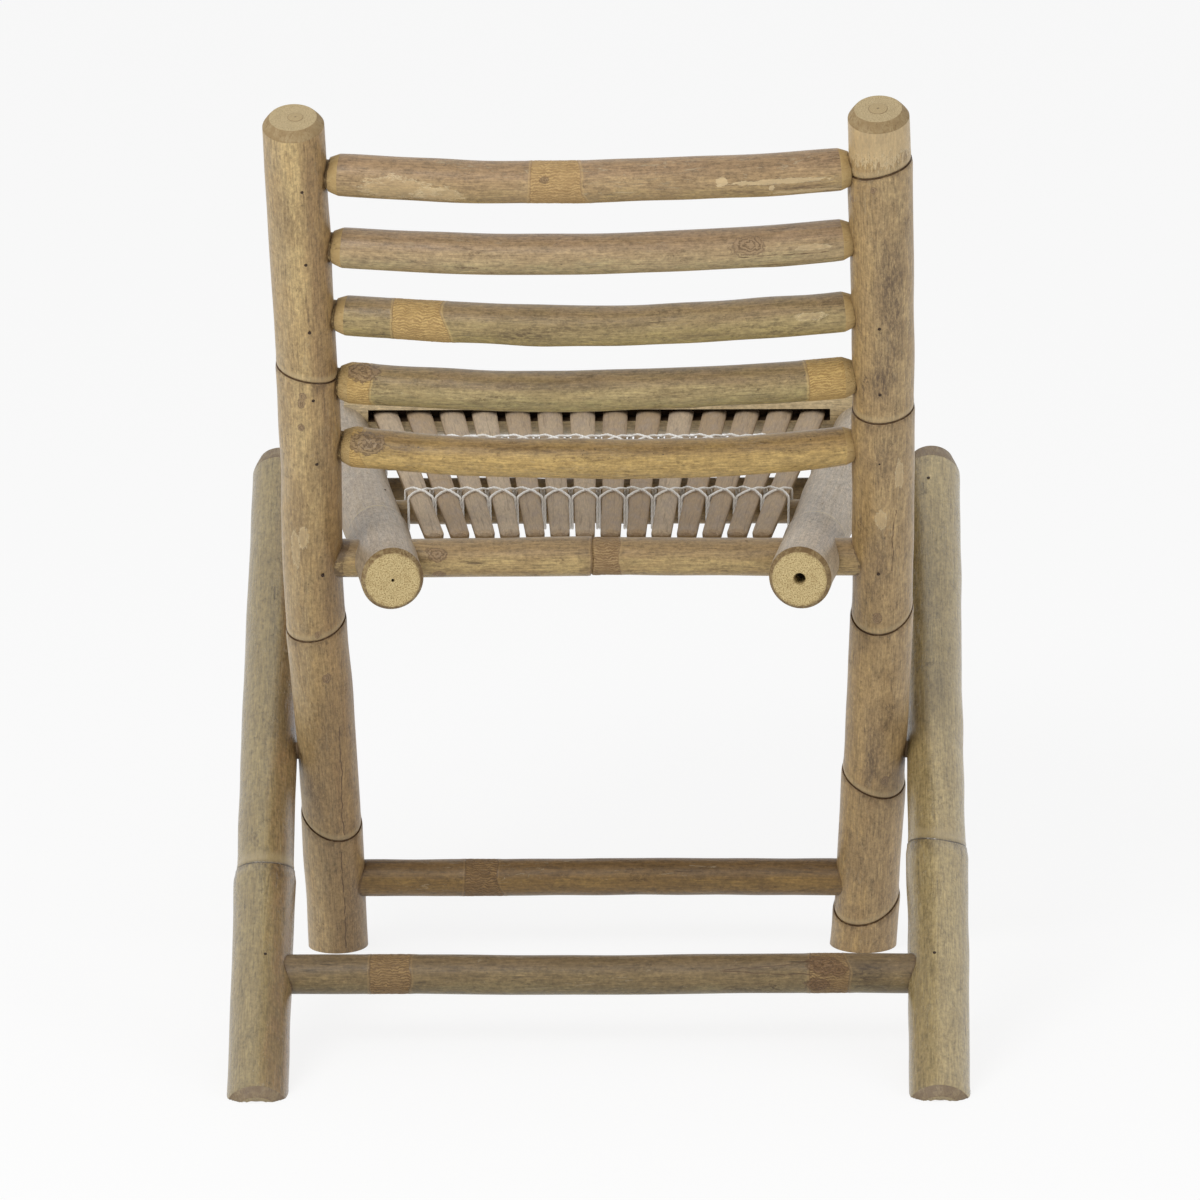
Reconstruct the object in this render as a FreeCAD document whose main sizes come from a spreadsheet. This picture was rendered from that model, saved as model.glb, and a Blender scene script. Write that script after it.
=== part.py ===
"""Bamboo folding recliner: solid bamboo poles, a bowed slat back, a laced slat seat and crossed legs.

Frame: +Y is the way the chair faces, +Z up, and +X to the right of someone looking along +Y.
Everything is first placed in side-view coordinates, y forward from the rear foot and z up from the
floor, and the point (origin_x, origin_y) of that view becomes the part's origin.
"""
import FreeCAD
import Part
import math
import os

DIMENSIONS = [
    ("origin_x", 1.5, "middle of the overall width"),
    ("origin_y", 354.1, "middle of the overall depth, forward of the rear feet"),
    ("pole_dia", 49.0, "posts and legs"),
    ("seat_pole_dia", 50.0, "side poles of the seat"),
    ("bevel_in", 5.8, "trimmed rim of a cut pole, inwards"),
    ("bevel_run", 7.7, "trimmed rim of a cut pole, along it"),
    ("tip_bevel_run", 18.0, "longer trim at the upper leg tips"),
    ("post_lean", 24.0, "back posts, degrees from upright"),
    ("post_length", 840.0, "floor to the top face, along the post"),
    ("post_foot_y", 417.5, "post feet, forward of the leg feet"),
    ("left_post_foot_x", 222.0, ""),
    ("left_post_top_x", 231.0, ""),
    ("right_post_foot_x", 218.5, ""),
    ("right_post_top_x", 220.5, ""),
    ("right_post_bow", 10.0, "natural outward bow of the right post"),
    ("leg_lean", 60.0, "legs, degrees from upright"),
    ("leg_length", 736.0, "floor to the tip, along the leg"),
    ("leg_heel", 23.0, "square end cut behind the floor point"),
    ("left_leg_foot_x", 268.4, ""),
    ("left_leg_tip_x", 278.7, ""),
    ("right_leg_foot_x", 269.7, ""),
    ("right_leg_tip_x", 282.2, ""),
    ("ground_allowance", 45.0, "pole left below the floor before the feet are cut flat"),
    ("back_slat_count", 5, "numbered upwards; each enters the posts at its own heights"),
    ("slat_1_left_up", 521.9, "up the post from the floor"),
    ("slat_1_right_up", 520.6, ""),
    ("slat_1_bow", 18.0, "rearward bow"),
    ("slat_1_dia", 32.0, ""),
    ("slat_2_left_up", 584.5, ""),
    ("slat_2_right_up", 588.5, ""),
    ("slat_2_bow", 13.7, ""),
    ("slat_2_dia", 32.5, ""),
    ("slat_3_left_up", 650.5, ""),
    ("slat_3_right_up", 652.5, ""),
    ("slat_3_bow", 15.6, ""),
    ("slat_3_dia", 32.5, ""),
    ("slat_4_left_up", 715.5, ""),
    ("slat_4_right_up", 721.5, ""),
    ("slat_4_bow", 14.0, ""),
    ("slat_4_dia", 32.0, ""),
    ("slat_5_left_up", 784.4, ""),
    ("slat_5_right_up", 788.0, ""),
    ("slat_5_bow", 12.9, ""),
    ("slat_5_dia", 33.5, ""),
    ("shoulder_run", 9.0, "taper at each end of a back slat, down to its tenon"),
    ("tenon_dia", 23.0, "ends of the back slats"),
    ("socket_depth", 32.0, "how far rungs enter the poles"),
    ("rail_dia", 31.0, "seat hinge rail"),
    ("rail_up", 410.0, "rail, up the post from the floor"),
    ("rail_clearance", 0.08, "radial, between the rail and the seat poles"),
    ("back_stretcher_dia", 31.0, ""),
    ("back_stretcher_up", 73.2, "up the post from the floor"),
    ("leg_stretcher_dia", 31.5, ""),
    ("leg_stretcher_up", 128.0, "up the leg from the floor"),
    ("leg_bar_dia", 37.0, "bar that carries the seat"),
    ("leg_bar_up", 689.0, "up the leg from the floor"),
    ("pin_dia", 14.0, "pivot dowels"),
    ("pin_clearance", 0.06, "radial, in the posts"),
    ("pin_recess", 1.1, "dowel ends below the crown of the pole"),
    ("left_plug_dia", 13.0, "pith plug in the left post top"),
    ("right_plug_dia", 16.0, "pith plug in the right post top"),
    ("plug_length", 12.0, ""),
    ("seat_slope", 1.3, "seat, degrees above level towards the front"),
    ("seat_tail", 73.0, "seat poles behind the rail"),
    ("seat_reach", 485.0, "seat poles in front of the rail"),
    ("left_seat_pole_x", 173.6, "seat pole axis beside the rail"),
    ("left_seat_pole_fan", 0.129, "sideways spread of a seat pole per unit forward"),
    ("right_seat_pole_x", 170.4, ""),
    ("right_seat_pole_fan", 0.122, ""),
    ("saddle_clearance", 0.3, "between the seat poles' saddles and the leg bar"),
    ("pith_hole_dia", 10.0, "open pith in the rear end of the right seat pole"),
    ("pith_hole_depth", 18.0, ""),
    ("lacing_rod_dia", 20.0, ""),
    ("lacing_rod_lift", 2.0, "lacing rods above the seat poles' axes"),
    ("rear_rod_s", 143.0, "rear lacing rod, in front of the rail"),
    ("front_rod_s", 330.0, "front lacing rod, in front of the rail"),
    ("front_bar_dia", 38.0, ""),
    ("front_bar_s", 444.0, "front bar, in front of the rail"),
    ("front_bar_lift", 15.0, "front bar above the seat poles' axes"),
    ("rod_socket_depth", 20.0, "lacing rods and front bar in the seat poles"),
    ("slat_count", 14, "seat slats"),
    ("slat_start_s", 12.5, "rear ends of the seat slats"),
    ("slat_end_s", 444.0, "front ends of the seat slats, in the front bar"),
    ("slat_thickness", 7.0, ""),
    ("slat_rear_width", 16.0, ""),
    ("slat_front_width", 21.5, ""),
    ("slat_rear_pitch", 20.4, ""),
    ("slat_front_pitch", 28.6, ""),
    ("slat_rear_shift", -0.6, "middle of the slats across the chair"),
    ("slat_front_shift", -4.6, ""),
    ("slat_round", 1.2, "rounded upper edges of a seat slat"),
    ("groove_end_s", 446.0, "bottom of the front bar's groove"),
    ("groove_height", 10.0, "open a little above the slats"),
    ("cord_dia", 2.0, "lacing cord"),
    ("cord_gap", 0.35, "cord clear of slats and rods"),
    ("cord_stand", 1.6, "extra distance of the cord in front of and behind a rod"),
    ("cord_bend", 2.8, "bend radius of the cord's axis"),
    ("nail_dia", 2.4, ""),
    ("nail_length", 26.0, ""),
    ("nail_head_dia", 3.4, ""),
    ("nail_head_height", 1.0, ""),
    ("nail_inset", 21.0, "nail, outwards from the face that a rung enters"),
    ("seat_nail_inset", 12.0, "the same in the seat poles"),
]

doc = FreeCAD.newDocument("bamboo_recliner")
sheet = doc.addObject("Spreadsheet::Sheet", "dims")
for row, (alias, value, note) in enumerate(DIMENSIONS, start=1):
    sheet.set(f"A{row}", alias)
    sheet.set(f"B{row}", str(value))
    sheet.setAlias(f"B{row}", alias)
    sheet.set(f"C{row}", note)
doc.recompute()

nodes = {}


def dim(alias):
    return float(sheet.get(alias))


def angle(alias):
    return math.radians(dim(alias))


def place(x, y, z):
    """A point of the side view, x to the right, as a point of the part."""
    return FreeCAD.Vector(x - dim("origin_x"), y - dim("origin_y"), z)


POST_UP = FreeCAD.Vector(0, -math.sin(angle("post_lean")), math.cos(angle("post_lean")))
POST_REAR = FreeCAD.Vector(0, -math.cos(angle("post_lean")), -math.sin(angle("post_lean")))
LEG_UP = FreeCAD.Vector(0, math.sin(angle("leg_lean")), math.cos(angle("leg_lean")))
LEG_UPPER_SIDE = FreeCAD.Vector(0, -math.cos(angle("leg_lean")), math.sin(angle("leg_lean")))
SEAT_FORWARD = FreeCAD.Vector(0, math.cos(angle("seat_slope")), math.sin(angle("seat_slope")))
SEAT_NORMAL = FreeCAD.Vector(0, -math.sin(angle("seat_slope")), math.cos(angle("seat_slope")))
ACROSS = FreeCAD.Vector(1, 0, 0)
SIDES = {"left": -1, "right": 1}


def post_x(side, up):
    """Where a post's axis is across the chair, at a distance up the post."""
    share = up / dim("post_length")
    foot = dim(f"{side}_post_foot_x")
    straight = foot + (dim(f"{side}_post_top_x") - foot) * share
    bow = dim("right_post_bow") if side == "right" else 0.0
    return SIDES[side] * (straight + 4 * bow * share * (1 - share))


def leg_x(side, up):
    foot = dim(f"{side}_leg_foot_x")
    return SIDES[side] * (foot + (dim(f"{side}_leg_tip_x") - foot) * up / dim("leg_length"))


def post_point(side, up):
    """A point of a post's axis."""
    return place(post_x(side, up), dim("post_foot_y"), 0) + POST_UP * up


def leg_point(side, up):
    return place(leg_x(side, up), 0, 0) + LEG_UP * up


RAIL = place(0, dim("post_foot_y"), 0) + POST_UP * dim("rail_up")


def seat_point(x, s, n):
    """A point of the seat: x across, s forward from the rail, n above the poles' axes."""
    return RAIL + ACROSS * x + SEAT_FORWARD * s + SEAT_NORMAL * n


def seat_pole_x(side, s):
    """Where a seat pole's axis is across the chair, at a distance in front of the rail."""
    return SIDES[side] * (dim(f"{side}_seat_pole_x") + dim(f"{side}_seat_pole_fan") * s)


def turned_to(direction):
    return FreeCAD.Rotation(FreeCAD.Vector(0, 0, 1), direction)


def cylinder(name, start, direction, length, diameter):
    """A cylinder whose diameter is an expression of the sheet."""
    item = doc.addObject("Part::Cylinder", name)
    item.setExpression("Radius", f"({diameter}) / 2")
    item.Height = length
    item.Placement = FreeCAD.Placement(start, turned_to(direction))
    return item


def rod(name, start, end, diameter):
    return cylinder(name, start, end - start, (end - start).Length, diameter)


def bevel(name, base, direction, diameter, run):
    """The trimmed rim that closes a cut pole."""
    item = doc.addObject("Part::Cone", name)
    item.setExpression("Radius1", f"({diameter}) / 2")
    item.setExpression("Radius2", f"({diameter}) / 2 - dims.bevel_in")
    item.setExpression("Height", run)
    item.Placement = FreeCAD.Placement(base, turned_to(direction))
    return item


def fused(name, items):
    item = doc.addObject("Part::MultiFuse", name)
    item.Shapes = items
    item.Refine = True
    return item


def less(base, tools):
    """The base with each tool cut out of it in turn."""
    for tool in tools:
        cut = doc.addObject("Part::Cut", f"{base.Name}_less")
        cut.Base = base
        cut.Tool = tool
        base = cut
    return base


def grouped(name, items):
    item = doc.addObject("Part::Compound", name)
    item.Links = items
    return item


def node(label, item):
    item.Label = label
    nodes[label] = item
    return item


def bevelled_pole(name, start, end, diameter, start_run, end_run):
    """A straight pole between two end faces, with a trimmed rim at each end that has a run."""
    along = (end - start).normalize()
    low = start + along * dim(start_run) if start_run else start
    high = end - along * dim(end_run) if end_run else end
    parts = [rod(f"{name}_shaft", low, high, diameter)]
    if start_run:
        parts.append(bevel(f"{name}_start", low, along * -1, diameter, f"dims.{start_run}"))
    if end_run:
        parts.append(bevel(f"{name}_end", high, along, diameter, f"dims.{end_run}"))
    return fused(name, parts)


def bowed_pole(name, start, end, outward, bow, diameter, before=0.0):
    """A pole along a circular arc from start to end, its middle pushed outward by the bow."""
    chord = end - start
    along = FreeCAD.Vector(chord).normalize()
    outward = (outward - along * outward.dot(along)).normalize()
    radius = chord.Length ** 2 / (8 * bow) + bow / 2
    half = math.asin(chord.Length / (2 * radius))
    first = -half - before / radius
    centre = (start + end) * 0.5 - outward * (radius - bow)
    to_start = outward * math.cos(first) + along * math.sin(first)
    tangent = along * math.cos(first) - outward * math.sin(first)
    item = doc.addObject("Part::Torus", name)
    item.Radius1 = radius
    item.setExpression("Radius2", f"({diameter}) / 2")
    item.Angle3 = math.degrees(half - first)
    turn = FreeCAD.Rotation(to_start, tangent, to_start.cross(tangent), "XYZ")
    item.Placement = FreeCAD.Placement(centre, turn)
    return item


def nail(name, head, direction):
    """A nail driven from the wood's surface, its low round head standing on it."""
    shank = cylinder(f"{name}_shank", head, direction, dim("nail_length"), "dims.nail_dia")
    cap = cylinder(f"{name}_cap", head - direction * dim("nail_head_height") * 0.5,
                   direction, dim("nail_head_height"), "dims.nail_head_dia")
    return fused(name, [shank, cap])


def surface_drop(diameter, inset):
    """How far the pole's surface lies from its axis plane, at a nail inset from the pole's flank."""
    off_axis = dim(diameter) / 2 - inset
    return math.sqrt((dim(diameter) / 2) ** 2 - off_axis ** 2)


def floor_slab():
    slab = doc.addObject("Part::Box", "below_floor")
    slab.Length = 2000
    slab.Width = 2000
    slab.Height = 200
    slab.Placement.Base = FreeCAD.Vector(-1000, -1000, -200)
    return slab


FLOOR = floor_slab()


# back frame

def back_rung_ends(up, depth):
    """The two ends of a rung between the posts, each the given depth inside its post."""
    reach = dim("pole_dia") / 2 - depth
    left = post_point("left", up) + ACROSS * reach
    right = post_point("right", up) - ACROSS * reach
    return left, right


def back_slat(number):
    """A bowed slat whose ends taper just before the posts to the tenons that enter them."""
    name = f"slat_{number}"
    clear = dim("pole_dia") / 2 + dim("shoulder_run") - 1
    left = post_point("left", dim(f"{name}_left_up")) + ACROSS * clear
    right = post_point("right", dim(f"{name}_right_up")) - ACROSS * clear
    bow = dim(f"{name}_bow")
    items = [bowed_pole(f"{name}_arc", left, right, POST_REAR, bow, f"dims.{name}_dia")]
    chord = (right - left).normalize()
    rise = 2 * math.atan(2 * bow / (right - left).Length)
    for side, point, outwards in (("left", left, chord * -1), ("right", right, chord)):
        direction = outwards * math.cos(rise) - POST_REAR * math.sin(rise)
        shoulder = doc.addObject("Part::Cone", f"{name}_{side}_shoulder")
        shoulder.setExpression("Radius1", f"dims.{name}_dia / 2")
        shoulder.setExpression("Radius2", "dims.tenon_dia / 2")
        shoulder.setExpression("Height", "dims.shoulder_run")
        shoulder.Placement = FreeCAD.Placement(point, turned_to(direction))
        length = dim("shoulder_run") + dim("socket_depth")
        tenon = cylinder(f"{name}_{side}_tenon", point, direction, length, "dims.tenon_dia")
        items += [shoulder, tenon]
    return fused(name, items)


post_nails = {side: [] for side in SIDES}


def add_post_nails(ups, name):
    """One nail in each post, through the end of the rung that enters it at this height."""
    inset = dim("nail_inset")
    drop = surface_drop("pole_dia", inset)
    for (side, sign), up in zip(SIDES.items(), ups):
        inner = post_point(side, up) - ACROSS * sign * (dim("pole_dia") / 2 - inset)
        item = nail(f"{name}_{side}_nail", inner + POST_REAR * drop, POST_REAR * -1)
        post_nails[side].append(item)


raw_slats = []
for number in range(1, int(dim("back_slat_count")) + 1):
    raw_slats.append(back_slat(number))
    heights = (dim(f"slat_{number}_left_up"), dim(f"slat_{number}_right_up"))
    add_post_nails(heights, f"slat_{number}")

left, right = back_rung_ends(dim("rail_up"), dim("socket_depth"))
raw_rail = rod("rail", left, right, "dims.rail_dia")
add_post_nails([dim("rail_up")] * 2, "rail")

left, right = back_rung_ends(dim("back_stretcher_up"), dim("socket_depth"))
raw_back_stretcher = rod("back_stretcher_rod", left, right, "dims.back_stretcher_dia")
add_post_nails([dim("back_stretcher_up")] * 2, "back_stretcher")

back_nail_group = node("back_frame_nails", grouped("back_nails", [*post_nails["left"], *post_nails["right"]]))


def crossing():
    """Where the legs cross the posts in the side view: distances up the leg and up the post."""
    lean = angle("leg_lean") + angle("post_lean")
    up_post = dim("post_foot_y") * math.cos(angle("leg_lean")) / math.sin(lean)
    up_leg = dim("post_foot_y") * math.cos(angle("post_lean")) / math.sin(lean)
    return up_leg, up_post


PIVOT_UP_LEG, PIVOT_UP_POST = crossing()


def pivot_pin(side, name, extra=""):
    """The dowel through a post and its leg, flush with both."""
    sign = SIDES[side]
    inner = abs(post_x(side, PIVOT_UP_POST)) - dim("pole_dia") / 2 + dim("pin_recess")
    outer = abs(leg_x(side, PIVOT_UP_LEG)) + dim("pole_dia") / 2 - dim("pin_recess")
    start = leg_point(side, PIVOT_UP_LEG)
    start.x = sign * inner - dim("origin_x")
    return cylinder(name, start, ACROSS * sign, outer - inner, f"dims.pin_dia{extra}")


def pin_hole(side):
    """The running bore for a pivot dowel, right through the post."""
    hole = pivot_pin(side, f"{side}_pin_hole", " + 2 * dims.pin_clearance")
    through = dim("pole_dia")
    hole.Height = 2 * through
    hole.Placement.Base.x = post_point(side, PIVOT_UP_POST).x - SIDES[side] * through
    return hole


def post_top_plug(side):
    top = post_point(side, dim("post_length"))
    down = (post_point(side, dim("post_length") - 10) - top).normalize()
    return cylinder(f"{side}_plug", top, down, dim("plug_length"), f"dims.{side}_plug_dia")


def straight_post(side):
    low = post_point(side, 0)
    top = post_point(side, dim("post_length"))
    along = (top - low).normalize()
    buried = low - along * dim("ground_allowance")
    return bevelled_pole(f"{side}_post", buried, top, "dims.pole_dia", None, "bevel_run")


def bent_post(side):
    """A post with a natural outward bow, its trimmed rim square to the bent axis."""
    low = post_point(side, 0)
    top = post_point(side, dim("post_length") - dim("bevel_run"))
    shaft = bowed_pole(f"{side}_post_shaft", low, top, ACROSS * SIDES[side], dim("right_post_bow"),
                       "dims.pole_dia", dim("ground_allowance"))
    along = (post_point(side, dim("post_length")) - top).normalize()
    rim = bevel(f"{side}_post_rim", top, along, "dims.pole_dia", "dims.bevel_run")
    return fused(f"{side}_post", [shaft, rim])


plugs = {side: post_top_plug(side) for side in SIDES}
raw_posts = {"left": straight_post("left"), "right": bent_post("right")}
for side, post in raw_posts.items():
    tools = [FLOOR, *raw_slats, raw_rail, raw_back_stretcher, pin_hole(side), plugs[side], *post_nails[side]]
    node(f"post_{side}", less(post, tools))
node("post_plugs", grouped("plugs", list(plugs.values())))
for index, slat in enumerate(raw_slats, start=1):
    node(f"back_slat_{index}", less(slat, [back_nail_group]))
node("seat_rail", less(raw_rail, [back_nail_group]))
node("back_stretcher", less(raw_back_stretcher, [back_nail_group]))


# leg frame

def leg_rung(name, up, diameter):
    reach = dim("pole_dia") / 2 - dim("socket_depth")
    left = leg_point("left", up) + ACROSS * reach
    right = leg_point("right", up) - ACROSS * reach
    return rod(name, left, right, diameter)


def leg_nails(up, name):
    inset = dim("nail_inset")
    drop = surface_drop("pole_dia", inset)
    items = []
    for side, sign in SIDES.items():
        inner = leg_point(side, up) - ACROSS * sign * (dim("pole_dia") / 2 - inset)
        items.append(nail(f"{name}_{side}_nail", inner + LEG_UPPER_SIDE * drop, LEG_UPPER_SIDE * -1))
    return items


raw_leg_bar = leg_rung("leg_bar_rod", dim("leg_bar_up"), "dims.leg_bar_dia")
raw_leg_stretcher = leg_rung("leg_stretcher_rod", dim("leg_stretcher_up"), "dims.leg_stretcher_dia")
leg_nail_items = leg_nails(dim("leg_bar_up"), "leg_bar")
leg_nail_items += leg_nails(dim("leg_stretcher_up"), "leg_stretcher")
leg_nail_group = node("leg_frame_nails", grouped("leg_nails", leg_nail_items))
pins = {side: pivot_pin(side, f"{side}_pin") for side in SIDES}
node("pivot_pins", grouped("pins", list(pins.values())))
for side in SIDES:
    heel = leg_point(side, -dim("leg_heel"))
    tip = leg_point(side, dim("leg_length"))
    leg = bevelled_pole(f"{side}_leg", heel, tip, "dims.pole_dia", "bevel_run", "tip_bevel_run")
    tools = [FLOOR, raw_leg_bar, raw_leg_stretcher, pins[side], leg_nail_group]
    node(f"leg_{side}", less(leg, tools))
node("leg_bar", less(raw_leg_bar, [leg_nail_group]))
node("leg_stretcher", less(raw_leg_stretcher, [leg_nail_group]))


# seat frame

def seat_rung(name, s, n, diameter_alias):
    """A rung between the seat poles, let into both."""
    short = dim("seat_pole_dia") / 2 - dim("rod_socket_depth")
    left = seat_point(seat_pole_x("left", s) + short, s, n)
    right = seat_point(seat_pole_x("right", s) - short, s, n)
    return rod(name, left, right, f"dims.{diameter_alias}")


def rail_hole(side):
    """The running bore for the rail, right through a seat pole."""
    through = dim("seat_pole_dia")
    start = seat_point(seat_pole_x(side, 0) - through, 0, 0)
    diameter = "dims.rail_dia + 2 * dims.rail_clearance"
    return cylinder(f"{side}_rail_hole", start, ACROSS, 2 * through, diameter)


def saddle(side):
    """The shallow notch under a seat pole that sits over the leg bar."""
    middle = leg_point("left", dim("leg_bar_up"))
    middle.x = seat_pole_x(side, dim("seat_reach")) - dim("origin_x")
    start = middle - ACROSS * 2 * dim("seat_pole_dia")
    diameter = "dims.leg_bar_dia + 2 * dims.saddle_clearance"
    return cylinder(f"{side}_saddle", start, ACROSS, 4 * dim("seat_pole_dia"), diameter)


def seat_nails(s, n, name):
    """One nail in each seat pole from above, through the end of the rung there."""
    inset = dim("seat_nail_inset")
    drop = surface_drop("seat_pole_dia", inset)
    items = []
    for side, sign in SIDES.items():
        x = seat_pole_x(side, s) - sign * (dim("seat_pole_dia") / 2 - inset)
        items.append(nail(f"{name}_{side}_nail", seat_point(x, s, n + drop), SEAT_NORMAL * -1))
    return items


rod_n = dim("lacing_rod_lift")
rear_rod = seat_rung("rear_rod", dim("rear_rod_s"), rod_n, "lacing_rod_dia")
front_rod = seat_rung("front_rod", dim("front_rod_s"), rod_n, "lacing_rod_dia")
raw_front_bar = seat_rung("front_bar", dim("front_bar_s"), dim("front_bar_lift"), "front_bar_dia")
seat_nail_items = seat_nails(dim("rear_rod_s"), 0, "rear_rod")
seat_nail_items += seat_nails(dim("front_rod_s"), 0, "front_rod")
seat_nail_group = node("seat_frame_nails", grouped("seat_nails", seat_nail_items))

for side in SIDES:
    tail = seat_point(seat_pole_x(side, -dim("seat_tail")), -dim("seat_tail"), 0)
    nose = seat_point(seat_pole_x(side, dim("seat_reach")), dim("seat_reach"), 0)
    pole = bevelled_pole(f"{side}_seat_pole", tail, nose, "dims.seat_pole_dia", "bevel_run", "bevel_run")
    tools = [rail_hole(side), saddle(side), rear_rod, front_rod, raw_front_bar, seat_nail_group]
    if side == "right":
        tools.append(cylinder("pith_hole", tail, nose - tail, dim("pith_hole_depth"), "dims.pith_hole_dia"))
    node(f"seat_pole_{side}", less(pole, tools))
node("rear_lacing_rod", less(rear_rod, [seat_nail_group]))
node("front_lacing_rod", less(front_rod, [seat_nail_group]))


SLAT_BOTTOM = dim("lacing_rod_lift") + dim("lacing_rod_dia") / 2


def along_slats(rear, front, s):
    """A size of the row of slats that changes evenly from their rear ends to their front ends."""
    share = (s - dim("slat_start_s")) / (dim("slat_end_s") - dim("slat_start_s"))
    return dim(rear) + (dim(front) - dim(rear)) * share


def slat_pitch(s):
    return along_slats("slat_rear_pitch", "slat_front_pitch", s)


def slat_width(s):
    return along_slats("slat_rear_width", "slat_front_width", s)


def row_x(place_in_row, s):
    """Across the seat: so many pitches from the middle of the row of slats."""
    return along_slats("slat_rear_shift", "slat_front_shift", s) + place_in_row * slat_pitch(s)


def bar_groove():
    """The groove in the rear side of the front bar that takes the slats' ends."""
    count = dim("slat_count")
    groove = doc.addObject("Part::Box", "bar_groove")
    groove.Length = slat_pitch(dim("slat_end_s")) * count
    groove.Width = dim("groove_end_s") - dim("slat_start_s")
    groove.setExpression("Height", "dims.groove_height")
    groove.Placement = FreeCAD.Placement(
        seat_point(row_x(-count / 2, dim("slat_end_s")), dim("slat_start_s"), SLAT_BOTTOM),
        FreeCAD.Rotation(ACROSS, SEAT_FORWARD, SEAT_NORMAL, "XYZ"))
    return groove


def long_upper_edges(shape):
    """Numbers of the two upper edges that run along a slat."""
    top = shape.BoundBox.ZMax
    found = []
    for number, edge in enumerate(shape.Edges, start=1):
        level = all(abs(vertex.Z - top) < 1e-6 for vertex in edge.Vertexes)
        if level and edge.Length > shape.BoundBox.YLength / 2:
            found.append(number)
    return found


def seat_slat(index):
    """A strip that widens forward, its two upper edges rounded."""
    blank = doc.addObject("Part::Wedge", f"strip_{index}")
    for name, size in (("Xmin", "-dims.slat_rear_width / 2"), ("Xmax", "dims.slat_rear_width / 2"),
                       ("X2min", "-dims.slat_front_width / 2"), ("X2max", "dims.slat_front_width / 2"),
                       ("Ymin", "0"), ("Ymax", "dims.slat_end_s - dims.slat_start_s"),
                       ("Zmin", "0"), ("Zmax", "dims.slat_thickness"),
                       ("Z2min", "0"), ("Z2max", "dims.slat_thickness")):
        blank.setExpression(name, size)
    doc.recompute()
    edges = long_upper_edges(blank.Shape)
    place_in_row = index - (dim("slat_count") + 1) / 2
    rear = seat_point(row_x(place_in_row, dim("slat_start_s")), dim("slat_start_s"), SLAT_BOTTOM)
    front = seat_point(row_x(place_in_row, dim("slat_end_s")), dim("slat_end_s"), SLAT_BOTTOM)
    along = (front - rear).normalize()
    rounded = doc.addObject("Part::Fillet", f"slat_strip_{index}")
    rounded.Base = blank
    rounded.Edges = [(number, dim("slat_round"), dim("slat_round")) for number in edges]
    turn = FreeCAD.Rotation(along.cross(SEAT_NORMAL), along, SEAT_NORMAL, "XYZ")
    blank.Placement = FreeCAD.Placement(rear, turn)
    return rounded


node("seat_front_bar", less(raw_front_bar, [bar_groove()]))
for index in range(1, int(dim("slat_count")) + 1):
    node(f"seat_slat_{index:02d}", seat_slat(index))


# lacing

def lacing_route(rod_s):
    """The cord's corners: across each slat, down behind the rod, under it and up in front."""
    count = int(dim("slat_count"))
    half = dim("cord_dia") / 2 + dim("cord_gap")
    out = dim("lacing_rod_dia") / 2 + half + dim("cord_stand")
    top = SLAT_BOTTOM + dim("slat_thickness") + half
    bottom = dim("lacing_rod_lift") - dim("lacing_rod_dia") / 2 - half
    behind = rod_s - out
    before = rod_s + out

    def gap_x(gap, s):
        """Across the seat: midway between two slats, and close beside the outermost ones."""
        if 0 < gap < count:
            return row_x(gap - count / 2, s)
        edge = slat_width(s) / 2 + half
        return row_x((count - 1) / 2, s) + edge if gap else row_x((1 - count) / 2, s) - edge

    route = [seat_point(gap_x(0, behind), behind, bottom), seat_point(gap_x(0, before), before, bottom)]
    for gap in range(count):
        route.append(seat_point(gap_x(gap, before), before, top))
        route.append(seat_point(gap_x(gap + 1, behind), behind, top))
        route.append(seat_point(gap_x(gap + 1, behind), behind, bottom))
        route.append(seat_point(gap_x(gap + 1, before), before, bottom))
    return route


def rounded_path(points, radius):
    """Straight runs joined by tangent arcs of one radius."""
    edges = []
    last = points[0]
    for before, corner, after in zip(points, points[1:], points[2:]):
        back = (before - corner).normalize()
        on = (after - corner).normalize()
        half_turn = (math.pi - back.getAngle(on)) / 2
        cut = radius * math.tan(half_turn)
        bisector = (back + on).normalize()
        middle = corner + bisector * (radius / math.cos(half_turn) - radius)
        start = corner + back * cut
        end = corner + on * cut
        edges.append(Part.LineSegment(last, start).toShape())
        edges.append(Part.Arc(start, middle, end).toShape())
        last = end
    edges.append(Part.LineSegment(last, points[-1]).toShape())
    return Part.Wire(edges)


def least_self_gap(path, diameter):
    """The least clear distance between stretches of the cord that aren't neighbours."""
    spacing = 2.0
    count = int(path.Length / spacing)
    points = path.discretize(Number=count)
    step = path.Length / (count - 1)
    skip = int(6 * diameter / step)
    least = min((points[i] - points[j]).Length
                for i in range(len(points)) for j in range(i + skip, len(points)))
    return least - diameter


def lacing(label, rod_s):
    """One unbroken cord that ties every slat to a rod."""
    path = rounded_path(lacing_route(rod_s), dim("cord_bend"))
    first = path.Edges[0]
    direction = first.tangentAt(first.FirstParameter)
    ring = Part.Circle(first.valueAt(first.FirstParameter), direction, dim("cord_dia") / 2).toShape()
    tube = path.makePipeShell([Part.Wire(ring)], True, False)
    expected = math.pi * dim("cord_dia") ** 2 / 4 * path.Length
    print(f"{label}: length {path.Length:.0f} mm, volume ratio {tube.Volume / expected:.4f}, "
          f"least gap to itself {least_self_gap(path, dim('cord_dia')):.2f} mm, bend {dim('cord_bend')} mm")
    item = doc.addObject("Part::Feature", label)
    item.Shape = tube
    node(label, item)


lacing("rear_lacing", dim("rear_rod_s"))
lacing("front_lacing", dim("front_rod_s"))


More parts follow.
